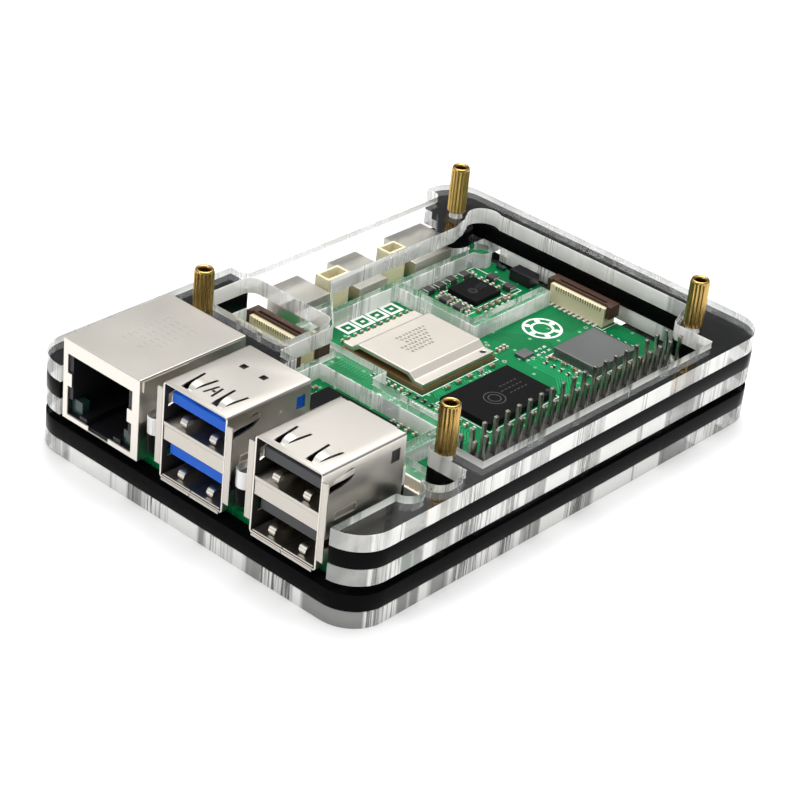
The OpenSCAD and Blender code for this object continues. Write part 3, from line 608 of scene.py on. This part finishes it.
def turned(name, profile, centres, steps, radius_change=None):
    """Closed turned solids: each point (r, z, knurl share) of the profile goes round the centre.

    x = cx + (r - depth(angle) * share) cos(angle), y = cy + the same with sin, z = z.
    The profile starts and ends on the axis or closes on itself.
    """
    angle = np.arange(steps) * 2 * np.pi / steps
    rows = np.asarray(profile, float)
    depth = radius_change(angle) if radius_change else np.zeros(steps)
    radius = rows[:, 0, None] - rows[:, 2, None] * depth[None, :]
    one = np.stack([radius * np.cos(angle), radius * np.sin(angle),
                    np.repeat(rows[:, 1, None], steps, 1)], -1).reshape(-1, 3)
    count = len(rows)
    i, j = np.meshgrid(np.arange(count), np.arange(steps), indexing="ij")
    nxt_i, nxt_j = (i + 1) % count, (j + 1) % steps
    quad = np.stack([i * steps + j, i * steps + nxt_j, nxt_i * steps + nxt_j, nxt_i * steps + j],
                    -1).reshape(-1, 4)
    shift = np.c_[np.asarray(centres), np.zeros(len(centres))]
    verts = (one[None] + shift[:, None]).reshape(-1, 3)
    faces = (quad[None] + np.arange(len(centres))[:, None, None] * len(one)).reshape(-1, 4)
    return link_mesh(name, verts, faces, smooth=True)


stand_low, stand_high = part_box("standoffs")
top, bottom = stand_high.z, stand_low.z
stand_r = 1.55 * mm
bore_r = hole_pattern["dims"]["hole_r_mm"] * mm
bore_floor = bottom + 4.0 * mm
flutes = 16
flute_depth = 0.22 * mm
profile = [(stand_r - 0.12 * mm, bottom, 0), (stand_r, bottom + 0.1 * mm, 1)]
profile += [(stand_r, z, 1) for z in np.linspace(bottom + 0.3 * mm, top - 0.55 * mm, 5)]
profile += [(stand_r - 0.02 * mm, top - 0.42 * mm, 0.6), (stand_r - 0.1 * mm, top - 0.32 * mm, 0),
            (stand_r - 0.1 * mm, top - 0.16 * mm, 0), (stand_r - 0.22 * mm, top, 0),
            (bore_r + 0.22 * mm, top, 0), (bore_r, top - 0.2 * mm, 0)]
thread_turns = np.linspace(top - 0.3 * mm, bore_floor, 21)
profile += [(bore_r - 0.06 * mm * (k % 2), z, 0) for k, z in enumerate(thread_turns)]
profile += [(bore_r + 0.14 * mm, bore_floor, 0), (bore_r + 0.14 * mm, bottom, 0)]
knurl = turned("knurled_standoffs", profile, hole_points, flutes * 8,
               lambda a: flute_depth * (0.5 - 0.5 * np.cos(flutes * a)) ** 0.7)
ride_as(knurl, brass, "knurled_brass", "standoffs")
zinc = grained("zinc_plate", (0.68, 0.69, 0.70), 0.3, metallic=1.0, spread=0.06)
finish_nodes(("base_screws", zinc, 0.05))


# ---------------- processor
# A green and brown laminate carrier with a satin nickel lid pressed over the die. The lid's
# raised band runs across it, and its code is burnt in by laser as rows of short dashes.


def small_blocks(name, blocks, chamfer, material, slot, *nodes, origin=(0, 0, 0)):
    """Boxes with flat chamfers on every edge, all in one piece. Each is two opposite corners.

    Each of a box's 8 corners gives 3 points: point k lies on the face across axis k and is moved
    in by the chamfer along the two other axes. 6 faces, 12 edge strips and 8 corners join them.
    """
    signs = [(x, y, z) for x in (-1, 1) for y in (-1, 1) for z in (-1, 1)]
    number = {(s, k): 3 * i + k for i, s in enumerate(signs) for k in range(3)}
    faces = [[number[s, k] for k in range(3)] for s in signs]
    for k in range(3):
        i, j = [n for n in range(3) if n != k]
        for side in (-1, 1):
            faces.append([number[s, k] for a, b in ((-1, -1), (1, -1), (1, 1), (-1, 1))
                          for s in signs if (s[k], s[i], s[j]) == (side, a, b)])
        for a, b in ((-1, -1), (-1, 1), (1, -1), (1, 1)):
            one, two = [s for s in signs if (s[i], s[j]) == (a, b)]
            faces.append([number[one, i], number[two, i], number[two, j], number[one, j]])
    sign = np.repeat(np.array(signs, float), 3, 0)
    inset = 1.0 - np.tile(np.eye(3), (8, 1))
    cube = sign * (1 - 0.1 * inset)
    for n, face in enumerate(faces):
        a, b, c = cube[face[:3]]
        if np.dot(np.cross(b - a, c - a), a + b + c) < 0:
            faces[n] = face[::-1]
    corners = np.asarray(blocks, float) + origin
    low, high = corners.min(1)[:, None], corners.max(1)[:, None]
    points = (low + high) / 2 + sign * ((high - low) / 2 - inset * chamfer)
    all_faces = [np.array(face) + 24 * n for n in range(len(corners)) for face in faces]
    piece = link_mesh(name, at_board(points.reshape(-1, 3)), all_faces)
    return ride_as(piece, material, slot, *nodes)


def prisms(name, plans, spans, axis="z", origin=(0, 0, 0)):
    """Upright prisms: each plan is a polygon, and its span the two heights along the axis.

    Along z a plan point is (x, y), and along y it is (x, z).
    """
    verts, faces, start = [], [], 0
    for plan, span in zip(plans, spans):
        for level in span:
            verts += [(u, v, level) if axis == "z" else (u, level, v) for u, v in plan]
        count = len(plan)
        k = np.arange(count)
        sides = np.stack([k, (k + 1) % count, (k + 1) % count + count, k + count], 1)
        faces += [*(start + sides), start + k, start + count + k]
        start += 2 * count
    return link_mesh(name, at_board(np.array(verts) + origin), faces, outward=True)


lid_nickel = grained("lid_nickel", (0.68, 0.635, 0.57), 0.38, metallic=1.0, spread=0.03,
                     unevenness=0.1, scale=1500.0, depth=0.000004)
carrier = grained("carrier_laminate", (0.15, 0.088, 0.03), 0.4, spread=0.12, scale=4000.0)
silicon = grained("polished_silicon", (0.2, 0.2, 0.22), 0.15, metallic=0.6, spread=0.05)
finish_nodes(("processor_lid", lid_nickel, 0.12), ("processor_carrier", carrier, 0.05),
             ("processor_die", silicon, 0.03))

lid_low, lid_high = node_span("processor_lid")
lid_mid = (lid_low + lid_high) / 2
burnt = grained("laser_burnt", (0.14, 0.125, 0.105), 0.6, metallic=0.4, spread=0.2, scale=6000.0)
code = []
for row in range(6):
    for k in range(9 - row % 3):
        x = lid_mid[0] - 4.2 + 0.75 * k + 0.5 * row
        y = lid_mid[1] - 3.0 + 0.85 * row
        code.append(dash(x, y, 0.34 + 0.1 * ((k * 7 + row) % 3)))
        code.append(dash(x, y + 0.26, 0.3 + 0.1 * ((k * 5 + row) % 3)))
printed("lid_code", [], code, 0.17, burnt, 0.006, lid_high[2], "nickel_lid")
# the pin-one dimple on the lid is a dark disc of painted shade
pin_one = prisms("lid_pin_one", [round_path((lid_low[0] + 1.6, lid_high[1] - 1.0), 0.42, 20)],
                 [(lid_low[2] + 0.6, lid_low[2] + 0.71)])
# near black: painted shade for small hollows and openings
hole_painted_shade = grained("dark_recess", (0.02, 0.017, 0.015), 0.7)
ride_as(pin_one, hole_painted_shade, "nickel_lid")


# ---------------- moulded chips
# Memory, controller and power chips in black epoxy, with faint laser marks on their tops. The
# tinned cans of the wireless part and the crystals are drawn from sheet.
chip_black = grained("chip_moulding", (0.006, 0.006, 0.0065), 0.5, spread=0.25, scale=9000.0,
                     Specular_IOR_Level=0.04)
chip_mark = grained("chip_mark", (0.035, 0.035, 0.037), 0.55, spread=0.3, scale=9000.0)
finish_nodes(*((node, chip_black, 0.07)
               for node in ("memory_chip", "io_controller_chip", "power_management_chip")))
for node, size in (("memory_chip", 1.0), ("power_management_chip", 0.45)):
    low, high = node_span(node)
    mid = (low + high) / 2
    ring_at = mid[:2] + [1.4 * size, 0.4 * size]
    rings = [round_path(ring_at, 1.7 * size, 24), round_path(ring_at, size, 20),
             round_path((low[0] + 0.9 * size, high[1] - 0.9 * size), 0.3 * size, 12)]
    dashes = [dash(mid[0] + (0.85 * k - 5.6) * size, mid[1] + (row - 1.2) * 1.1 * size, 0.5 * size)
              for row in range(3) for k in range(5 + row % 2)]
    printed(node + "_marks", rings, dashes, 0.13 * size + 0.03, chip_mark, 0.004, high[2],
            "black_chip")
tin_can = grained("tinned_can", (0.165, 0.168, 0.17), 0.36, metallic=0.9, spread=0.08, scale=2500.0)
finish_nodes(("wireless_shield", tin_can, 0.15), ("crystals", tin_can, 0.1))


# ---------------- network socket
# A folded nickel shell round a black moulding, with gold contacts and two light pipes. Folds and
# a latch stand out a little on its side, and a generic pattern is stamped into its top, drawn as darker
# nickel dashes that carry painted shade of the stamps.
nickel = grained("satin_nickel", (0.68, 0.645, 0.59), 0.3, metallic=1.0, spread=0.03,
                 unevenness=0.1, scale=1200.0, depth=0.000004)
black_mould = grained("black_moulding", (0.010, 0.010, 0.012), 0.38, spread=0.15, scale=6000.0,
                      Specular_IOR_Level=0.3)
gold = grained("gold_plate", (0.86, 0.66, 0.30), 0.25, metallic=1.0, spread=0.06)
lens = grained("tinted_lens", (0.014, 0.038, 0.035), 0.2, scale=5000.0)
finish_nodes(("network_shell", nickel, 0.12), ("network_body", black_mould, 0.05),
             ("network_contacts", gold, 0.03), ("network_lights", lens, 0.1))

(back, far_side, _), (front, side, roof) = node_span("network_shell")
small_blocks("network_folds",
             [((back + 1.0, side - 0.02, roof - 1.2), (front - 8.5, side + 0.1, roof - 0.25)),
              ((back + 1.5, side - 0.02, 2.5), (back + 7.0, side + 0.08, 3.3)),
              ((back + 9.5, side - 0.02, 5.6), (back + 13.5, side + 0.08, 9.2)),
              ((back + 11.5, side - 0.02, roof - 2.1), (front - 0.6, side + 0.22, roof - 0.3))],
             0.04, nickel, "nickel_shell")
# darker nickel for the stamped dashes: painted shade in the stamps
stamped = grained("stamped_nickel", (0.47, 0.445, 0.41), 0.42, metallic=1.0)
stamps = []
for row in range(4):
    for k in range(9 - 2 * (row % 2)):
        x = back + 5.0 + 1.1 * k
        y = far_side + 5.2 + 1.7 * row
        stamps.append(dash(x, y, 0.5 + 0.25 * ((k * 5 + row) % 3 == 0)))
        stamps.append(dash(x, y + 0.45, 0.4))
printed("network_stamp", [], stamps, 0.16, stamped, 0.006, roof, "nickel_shell")


# ---------------- double USB sockets
# Each is a nickel tube folded from sheet, with springs cut and bent in from its top and sides,
# a folded divider, a split lower lip and two plastic tongues that carry the contacts.


def round_rect_loop(y, z, half_w, half_h, radius, steps=9):
    """A rectangle with round corners in the YZ plane, as 4 * steps points round it."""
    turn = np.linspace(0, np.pi / 2, steps)
    loop = []
    for k, (sy, sz) in enumerate(((1, 1), (-1, 1), (-1, -1), (1, -1))):
        angle = turn + k * np.pi / 2
        loop.append(np.c_[y + sy * (half_w - radius) + radius * np.cos(angle),
                          z + sz * (half_h - radius) + radius * np.sin(angle)])
    return np.concatenate(loop)


def folded_tube(name, low, high, wall, radius, origin):
    """A tube along X, closed at the back, with round corners and a rounded rim.

    Rings of one cross-section go from the inner back over the front rim to the outer back. Ring
    k lies at (x, inset) and is the outer loop moved in by its inset.
    """
    y, z = (low[1] + high[1]) / 2, (low[2] + high[2]) / 2
    half_w, half_h = (high[1] - low[1]) / 2, (high[2] - low[2]) / 2
    rows = [(low[0] + wall, wall), (high[0] - 0.1, wall), (high[0] - 0.02, wall * 0.75),
            (high[0], wall * 0.5), (high[0] - 0.03, wall * 0.2), (high[0] - 0.12, 0.0),
            (low[0] + 0.15, 0.0), (low[0], 0.15)]
    rings = []
    for x, inset in rows:
        loop = round_rect_loop(y, z, half_w - inset, half_h - inset, max(radius - inset, 0.12))
        rings.append(np.c_[np.full(len(loop), x), loop])
    count = len(rings[0])
    k, r = np.arange(count), np.arange(len(rows) - 1)[:, None]
    quads = np.stack([r * count + k, (r + 1) * count + k, (r + 1) * count + (k + 1) % count,
                      r * count + (k + 1) % count], -1).reshape(-1, 4)
    faces = [*quads, k, (len(rows) - 1) * count + k[::-1]]
    return link_mesh(name, at_board(np.concatenate(rings) + origin), faces, outward=True)


def cut_out(piece, cutter):
    """Takes the cutter's solids out of the piece, and then deletes the cutter."""
    step = piece.modifiers.new("cut", "BOOLEAN")
    step.object = cutter
    step.solver = "EXACT"
    graph = bpy.context.evaluated_depsgraph_get()
    cut = bpy.data.meshes.new_from_object(piece.evaluated_get(graph))
    piece.modifiers.clear()
    piece.data = cut
    bpy.data.objects.remove(cutter)


def bent_strips(name, strips, thick, origin):
    """Springs: each is a strip of sheet along a line, with its own half width at each point.

    A ring of four points lies at the line plus or minus half width along the strip's side
    direction and half the thickness along the normal, which is tangent cross side.
    """
    verts, faces, start = [], [], 0
    for line, halves, side in strips:
        line, side = np.asarray(line, float), np.asarray(side, float)
        normal = np.cross(np.gradient(line, axis=0), side)
        normal *= thick / 2 / np.linalg.norm(normal, axis=1)[:, None]
        across = side * np.asarray(halves, float)[:, None]
        count = len(line)
        verts.append(np.stack([line + across + normal, line - across + normal,
                               line - across - normal, line + across - normal], 1).reshape(-1, 3))
        legs = np.arange(count - 1)
        for k in range(4):
            faces.append(np.stack([legs * 4 + k, legs * 4 + 4 + k, legs * 4 + 4 + (k + 1) % 4,
                                   legs * 4 + (k + 1) % 4], 1) + start)
        first = np.array([[0, 1, 2, 3]]) + start
        faces += [first, first[:, ::-1] + (count - 1) * 4]
        start += count * 4
    return link_mesh(name, at_board(np.concatenate(verts) + origin), np.concatenate(faces),
                     outward=True)


def curve_through(points, steps=5):
    """Points of a smooth line through the given ones: a Catmull-Rom spline."""
    p = np.asarray(points, float)
    p = np.concatenate([[2 * p[0] - p[1]], p, [2 * p[-1] - p[-2]]])
    t = np.linspace(0, 1, steps, endpoint=False)[:, None]
    legs = [0.5 * (2 * b + (c - a) * t + (2 * a - 5 * b + 4 * c - d) * t ** 2
                   + (3 * b - a - 3 * c + d) * t ** 3)
            for a, b, c, d in zip(p[:-3], p[1:-2], p[2:-1], p[3:])]
    return np.concatenate(legs + [p[-2:-1]])


def usb_socket(prefix, tongue_material, tongue_slot, extra_cuts):
    """Builds one double socket in the space of its CAD nodes.

    Its lengths are millimetres from the middle of the mouth at the board's top face, so x is
    below 0 inside, and w is the tube's half width.
    """
    low, high = node_span(prefix + "_shell")
    body_low, body_high = node_span(prefix + "_body")
    origin = np.array([high[0], (low[1] + high[1]) / 2, 0.0])
    back, top, flange = low[0] - high[0], high[2], (high[1] - low[1]) / 2
    w = (body_high[1] - body_low[1]) / 2 + 0.32
    shell = folded_tube(prefix + "_folded_shell", (back, -w, 0.0), (0.0, w, top), 0.3, 0.5, origin)

    # windows in the top and the sides, and the springs that are bent in from them
    cuts, springs = list(extra_cuts), []
    for y in (-2.95, 2.95):
        cuts.append([(-1.0, y - 0.95), (-1.0, y + 0.95), (-6.0, y + 1.5), (-6.0, y - 1.5)])
        line = curve_through([(-6.1, y, top - 0.1), (-5.0, y, top - 0.1), (-3.6, y, top - 0.11),
                              (-2.6, y, top - 0.3), (-2.1, y, top - 0.75), (-1.5, y, top - 0.7)])
        halves = np.interp(line[:, 0], [-6.1, -2.8, -1.5], [1.08, 0.64, 0.5])
        springs.append((line, halves, (0, 1, 0)))
    cut_out(shell, prisms("cutter", cuts, [(top - 1.0, top + 1.0)] * len(cuts), origin=origin))
    side_cuts = [
        [(-0.9, 13.2), (-0.9, 11.2), (-5.4, 12.3), (-6.3, 13.0), (-6.3, 14.0), (-5.6, 14.2)],
        [(-1.2, 4.4), (-1.2, 3.0), (-5.2, 2.6), (-5.2, 4.8)],
        box_path((back + 1.2, 11.6), (back + 2.9, 13.6)),
    ]
    side_spans = [(w - 0.9, w + 0.9)] * 3 + [(-w - 0.9, -w + 0.9)] * 3
    cut_out(shell, prisms("cutter", side_cuts * 2, side_spans, "y", origin))
    for s in (-1, 1):
        line = curve_through([(-6.3, s * (w - 0.15), 13.5), (-4.5, s * (w - 0.3), 13.2),
                              (-2.6, s * (w - 0.75), 12.75), (-1.3, s * (w - 0.6), 12.4)])
        springs.append((line, np.interp(line[:, 0], [-6.3, -1.3], [0.45, 0.55]), (0, 0, 1)))

    # the tube's inner faces take a near black copy of the nickel: painted shade inside the tube
    shell.data.polygons.foreach_set("use_smooth", [True] * len(shell.data.polygons))
    shell.modifiers.new("crease", "EDGE_SPLIT").split_angle = math.radians(14)
    x, y, z = ((vectors_of(shell.data.polygons, "center") - board_corner) / mm - origin).T
    inside = (np.abs(y) < w - 0.2) & (z > 0.2) & (z < top - 0.2) & (x < -0.09)
    ride_as(shell, nickel, "nickel_shell", prefix + "_shell")
    shell.data.materials.append(shaded_nickel)
    shell.data.polygons.foreach_set("material_index", inside.astype(np.int32))

    # divider, flanges at the mouth, split lower lip, and a pressed frame on each side, all in a darker
    # copy of the nickel that carries painted shade
    folds = [((-8.0, 0.32 - w, 6.2), (-0.22, w - 0.32, 8.54)),
             ((-8.0, 0.32 - w, 8.6), (-0.12, w - 0.32, 9.15))]
    for s in (-1, 1):
        folds += [((-0.3, s * (w + 0.01), 1.9), (0.0, s * flange, 14.2)),
                  ((-8.0, s * 0.07, 0.4), (-0.12, s * (w - 0.55), 0.65)),
                  ((-0.5, s * 0.07, -0.25), (0.18, s * (w - 0.55), 0.2))]
        folds += [((x0, s * (w - 0.04), z0), (x1, s * (w + 0.17), z1))
                  for x0, x1, z0, z1 in ((-7.0, -2.9, 7.0, 7.22), (-7.0, -2.9, 8.2, 8.42),
                                         (-7.0, -6.78, 7.22, 8.2), (-3.12, -2.9, 7.22, 8.2))]
    small_blocks(prefix + "_folds", folds, 0.06, mouth_nickel, "nickel_shell", origin=origin)
    rings = [round_path((-10.5, 12.2), radius, 16) for radius in (0.5, 0.34)]
    dimples = prisms(prefix + "_dimples", rings, [(w - 0.05, w + 0.05), (w + 0.05, w + 0.1)], "y",
                     origin)
    ride_as(dimples, nickel, "nickel_shell")

    for floor in (0.66, 9.16):
        for y in (-2.9, 2.9):
            line = curve_through([(-1.1, y, floor + 0.15), (-1.05, y, floor + 0.6),
                                  (-1.35, y, floor + 1.1), (-2.3, y, floor + 1.15),
                                  (-5.0, y, floor + 0.25)])
            halves = np.interp(np.arange(len(line)), [0, 4, len(line)], [0.4, 0.62, 0.62])
            springs.append((line, halves, (0, 1, 0)))
    ride_as(bent_strips(prefix + "_springs", springs, 0.2, origin), nickel, "nickel_shell")

    # plastic: linings over the contacts, the core behind, and the tongues
    linings = [((-9.0, -5.3, z), (-1.5, 5.3, z + 0.14)) for z in (14.06, 5.76)]
    small_blocks(prefix + "_linings", linings, 0.03, black_mould, tongue_slot, origin=origin)
    small_blocks(prefix + "_core", [((back + 0.35, 0.33 - w, 0.35), (-9.0, w - 0.33, top - 0.35))],
                 0.1, black_mould, tongue_slot, prefix + "_body", origin=origin)
    tongues = [((-10.0, -5.4, z), (-1.0, 5.4, z + 1.8)) for z in (3.8, 12.1)]
    tongues += [((-9.0, -5.25, z), (-1.25, 5.25, z + 0.17)) for z in (5.58, 13.88)]
    tongues += [((back + 0.9, s * (w - 0.61), 11.3), (back + 3.2, s * (w - 0.31), 13.9))
                for s in (-1, 1)]
    round_edges(small_blocks(prefix + "_tongues", tongues, 0.14, tongue_material, tongue_slot,
                             origin=origin), 0.05 * mm)
    finish_nodes((prefix + "_contacts", gold, 0.02))


# a darker copy of the satin nickel: painted shade on the trims at the sockets' mouths and on the low
# shells of the power and video sockets
mouth_nickel = grained("mouth_nickel", (0.50, 0.47, 0.425), 0.32, metallic=1.0, spread=0.04)
# a near black copy of the nickel: painted shade on the inner faces of the USB tubes
shaded_nickel = grained("shaded_nickel", (0.085, 0.08, 0.075), 0.45, metallic=0.85)
blue_mould = grained("blue_moulding", (0.004, 0.10, 0.55), 0.3, scale=5000.0,
                     Specular_IOR_Level=0.15)
dark_mould = grained("dark_grey_moulding", (0.014, 0.015, 0.018), 0.35, spread=0.15, scale=6000.0)
# the faster socket's top has a small centre spring's cut and two square holes, and the slower
# one's has a notch at each rear corner
blue_cuts = [
    [(-2.3, -1.0), (-2.3, -0.6), (-5.0, -0.15), (-5.0, -0.55)],
    [(-2.3, 0.6), (-2.3, 1.0), (-5.0, 0.55), (-5.0, 0.15)],
    box_path((-3.8, -0.32), (-3.3, 0.32)),
    box_path((-12.0, -2.75), (-10.9, -1.65)),
    box_path((-12.0, 1.15), (-10.9, 2.25)),
]
black_cuts = [box_path((-17.0, y - 0.7), (-16.1, y + 0.7)) for y in (-5.2, 5.2)]
usb_socket("usb_blue", blue_mould, "blue_plastic", blue_cuts)
usb_socket("usb_black", dark_mould, "dark_plastic", black_cuts)


# ---------------- pin header
# Two rows of square tinned pins, pushed through a black strip and soldered into the board. The
# tips are pointed by a flat bevel.
pin_tin = grained("pin_tin", (0.46, 0.44, 0.40), 0.22, metallic=1.0, spread=0.12, scale=3000.0)
strip_mould = grained("header_moulding", (0.018, 0.018, 0.02), 0.42, spread=0.2, scale=6000.0)
finish_nodes(("header_strip", strip_mould, 0.1), ("header_pins", pin_tin, 0.12, 1))


# ---------------- power and video sockets
# Three low nickel shells on the long edge with black tongues inside. They are soldered flat on
# the board, and their mouths point out of the open side of the case.
# the shells take the darker nickel with painted shade
finish_nodes(("usb_c_shell", mouth_nickel, 0.1), ("video_shells", mouth_nickel, 0.08),
             ("usb_c_tongue", black_mould, 0.04), ("video_tongues", black_mould, 0.04))


# ---------------- ribbon cable sockets
# Upright cream housings with a comb of contact slots on the open side. Each latch is a brown
# plate that is pushed down on the ribbon's end, and lifts to let it go.
cream = grained("cream_moulding", (0.70, 0.63, 0.42), 0.42, spread=0.06, scale=5000.0)
brown = grained("brown_moulding", (0.060, 0.030, 0.020), 0.4, spread=0.15, scale=5000.0,
                Specular_IOR_Level=0.25)
tin = grained("bright_tin", (0.62, 0.60, 0.56), 0.22, metallic=1.0, spread=0.08)
solder = grained("solder", (0.80, 0.79, 0.76), 0.35, metallic=0.5, scale=5000.0)
finish_nodes(("ribbon_contacts", tin, 0.02))
for name in ("camera", "display", "expansion"):
    finish_nodes((name + "_socket", cream, 0.08), (name + "_latch", brown, 0.06))
    low, high = node_span(name + "_socket")
    x, z = high[0], high[2]
    rib_y = np.arange(low[1] + 1.1, high[1] - 1.1, 0.5)
    small_blocks(name + "_comb", [((x - 0.05, y - 0.15, z - 0.9), (x + 0.14, y + 0.15, z - 0.02))
                                  for y in rib_y], 0.03, cream, "cream_plastic")
    small_blocks(name + "_feet", [((x - 0.05, y - 0.2, 0.0), (x + 0.95, y + 0.2, 0.26))
                                  for y in rib_y[::2]], 0.05, solder, "tin_pin")
    # dark blocks in the comb's slots: painted shade in the openings
    small_blocks(name + "_slots", [((x - 0.04, y + 0.17, z - 0.75), (x + 0.02, y + 0.33, z - 0.04))
                                   for y in rib_y], 0.01, hole_painted_shade, "cream_plastic")


# ---------------- wire sockets
# Small upright sockets for the clock battery, debug and fan leads, open at the top. Thin gold
# pins stand inside them, and the housings are moulded in cream or white plastic.
white_mould = grained("white_moulding", (0.76, 0.74, 0.68), 0.42, spread=0.05, scale=5000.0)
finish_nodes(("clock_battery_socket", cream, 0.08), ("debug_socket", cream, 0.08),
             ("fan_socket", white_mould, 0.08), ("small_socket_pins", gold, 0.03))


# ---------------- power button and status light
# A black push switch on the card edge with a pale plunger, and a lens beside it. The metal
# socket for the memory card is under the board at the same edge.
finish_nodes(("power_button_body", black_mould, 0.08), ("power_button_plunger", white_mould, 0.08),
             ("status_light", lens, 0.06), ("memory_card_socket", tin_can, 0.06))


# ---------------- soldered small parts
# Capacitors and resistors with tinned ends, and pressed iron inductors with rounded corners.
# Those of the CAD are replaced in place, and rows of smaller ones fill the free places.


def solids_of(node):
    """The lowest and highest corner of each loose solid in a node, in the board's millimetres.

    Every welded point starts with its own label, and each triangle gives its points its lowest
    label, until no label changes.
    """
    mesh = frame["nodes"][node].data
    points = (vectors_of(mesh.vertices, "co") - board_corner) / mm
    corners = np.empty(len(mesh.loops), np.int32)
    mesh.loops.foreach_get("vertex_index", corners)
    _, welded = np.unique(np.round(points * 1000).astype(int), axis=0, return_inverse=True)
    triangle = welded.ravel()[corners].reshape(-1, 3)
    label = np.arange(welded.max() + 1)
    while True:
        spread = label.copy()
        np.minimum.at(spread, triangle.ravel(), np.repeat(label[triangle].min(1), 3))
        spread = spread[spread]
        if (spread == label).all():
            break
        label = spread
    mine = label[welded.ravel()]
    return [(points[mine == k].min(0), points[mine == k].max(0)) for k in np.unique(mine)]


def end_capped(name, boxes, material, slot, end_material, share, narrow, chamfers, *nodes):
    """Bodies with a plated cap at each end of their longer side, one for each box.

    A cap takes the given share of the length. The body is lower by 0.02 mm than the caps, and
    narrower by the given amount on each side.
    """
    bodies, ends = [], []
    for low, high in boxes:
        axis = 0 if high[0] - low[0] >= high[1] - low[1] else 1
        inset = np.array([narrow, narrow, 0.02])
        inset[axis] = (high[axis] - low[axis]) * share
        bodies.append((low + inset, high - inset))
        first, last = high.copy(), low.copy()
        first[axis] = low[axis] + inset[axis]
        last[axis] = high[axis] - inset[axis]
        ends += [(low, first), (last, high)]
    small_blocks(name + "_bodies", bodies, chamfers[0], material, slot, *nodes)
    small_blocks(name + "_ends", ends, chamfers[1], end_material, "tin_pin")


taken = np.array([np.r_[low[:2], high[:2]]
                  for node in ("ceramic_capacitors", "chip_resistors", "power_inductors", "crystals")
                  for low, high in solids_of(node)])


def loose_rows(name, rows, size, material, slot, share):
    """Rows of tiny end-capped parts: each row is (x, y, step x, step y, count, lies along y).

    A place within 0.08 mm of a part that is already on the board stays empty.
    """
    boxes = []
    for x, y, step_x, step_y, count, along_y in rows:
        half = np.array(size[1::-1] if along_y else size[:2]) / 2
        for k in range(count):
            middle = np.array([x + k * step_x, y + k * step_y])
            apart = np.maximum(taken[:, :2] - middle - half, middle - half - taken[:, 2:]).max(1)
            if apart.min() >= 0.08:
                boxes.append((np.r_[middle - half, 0.0], np.r_[middle + half, size[2]]))
    end_capped(name, boxes, material, slot, solder, share, 0.0, (0.03, 0.04))


ceramic = grained("tan_ceramic", (0.25, 0.15, 0.075), 0.4, scale=6000.0)
glaze = grained("black_glaze", (0.012, 0.012, 0.014), 0.25, scale=5000.0)
ferrite = grained("pressed_iron", (0.022, 0.021, 0.021), 0.5, spread=0.3, scale=7000.0)
for node, material, slot, share, chamfer in (
    ("ceramic_capacitors", ceramic, "ceramic", 0.27, 0.05),
    ("chip_resistors", glaze, "resistor_black", 0.2, 0.03),
    ("power_inductors", ferrite, "ferrite", 0.1, 0.1),
):
    end_capped(node, solids_of(node), material, slot, tin, share, 0.02, (chamfer, 1.2 * chamfer), node)

loose_rows("small_capacitors",
           [(6.3, 11.0, 1.25, 0, 7, True), (6.6, 19.6, 1.3, 0, 6, True), (15.4, 12.0, 0, 1.2, 6, False),
            (6.6, 12.6, 0, 1.25, 5, False), (16.9, 12.4, 0, 1.6, 5, False), (9.0, 21.0, 1.4, 0, 5, True),
            (43.6, 19.4, 0, 1.3, 8, False), (18.0, 36.5, 0, 1.5, 5, False), (7.0, 46.0, 1.3, 0, 7, True),
            (24.6, 12.9, 1.5, 0, 11, True), (20.6, 30.0, 0.9, 0, 3, True), (51.3, 34.0, 0, 1.5, 6, False),
            (43.4, 36.0, 0, 1.4, 6, False), (54.5, 37.6, 1.4, 0, 6, True), (52.2, 45.6, 0, 1.2, 3, False)],
           (0.95, 0.5, 0.5), ceramic, "ceramic", 0.27)
loose_rows("small_resistors",
           [(7.4, 9.9, 1.3, 0, 6, True), (18.6, 12.6, 0, 1.5, 5, False), (4.6, 37.0, 0, 1.4, 5, False),
            (19.4, 37.2, 0, 1.5, 5, False), (58.0, 40.8, 1.3, 0, 5, True), (8.4, 47.4, 1.3, 0, 6, True),
            (45.4, 24.4, 0, 1.3, 4, False)],
           (0.9, 0.45, 0.32), glaze, "resistor_black", 0.22)
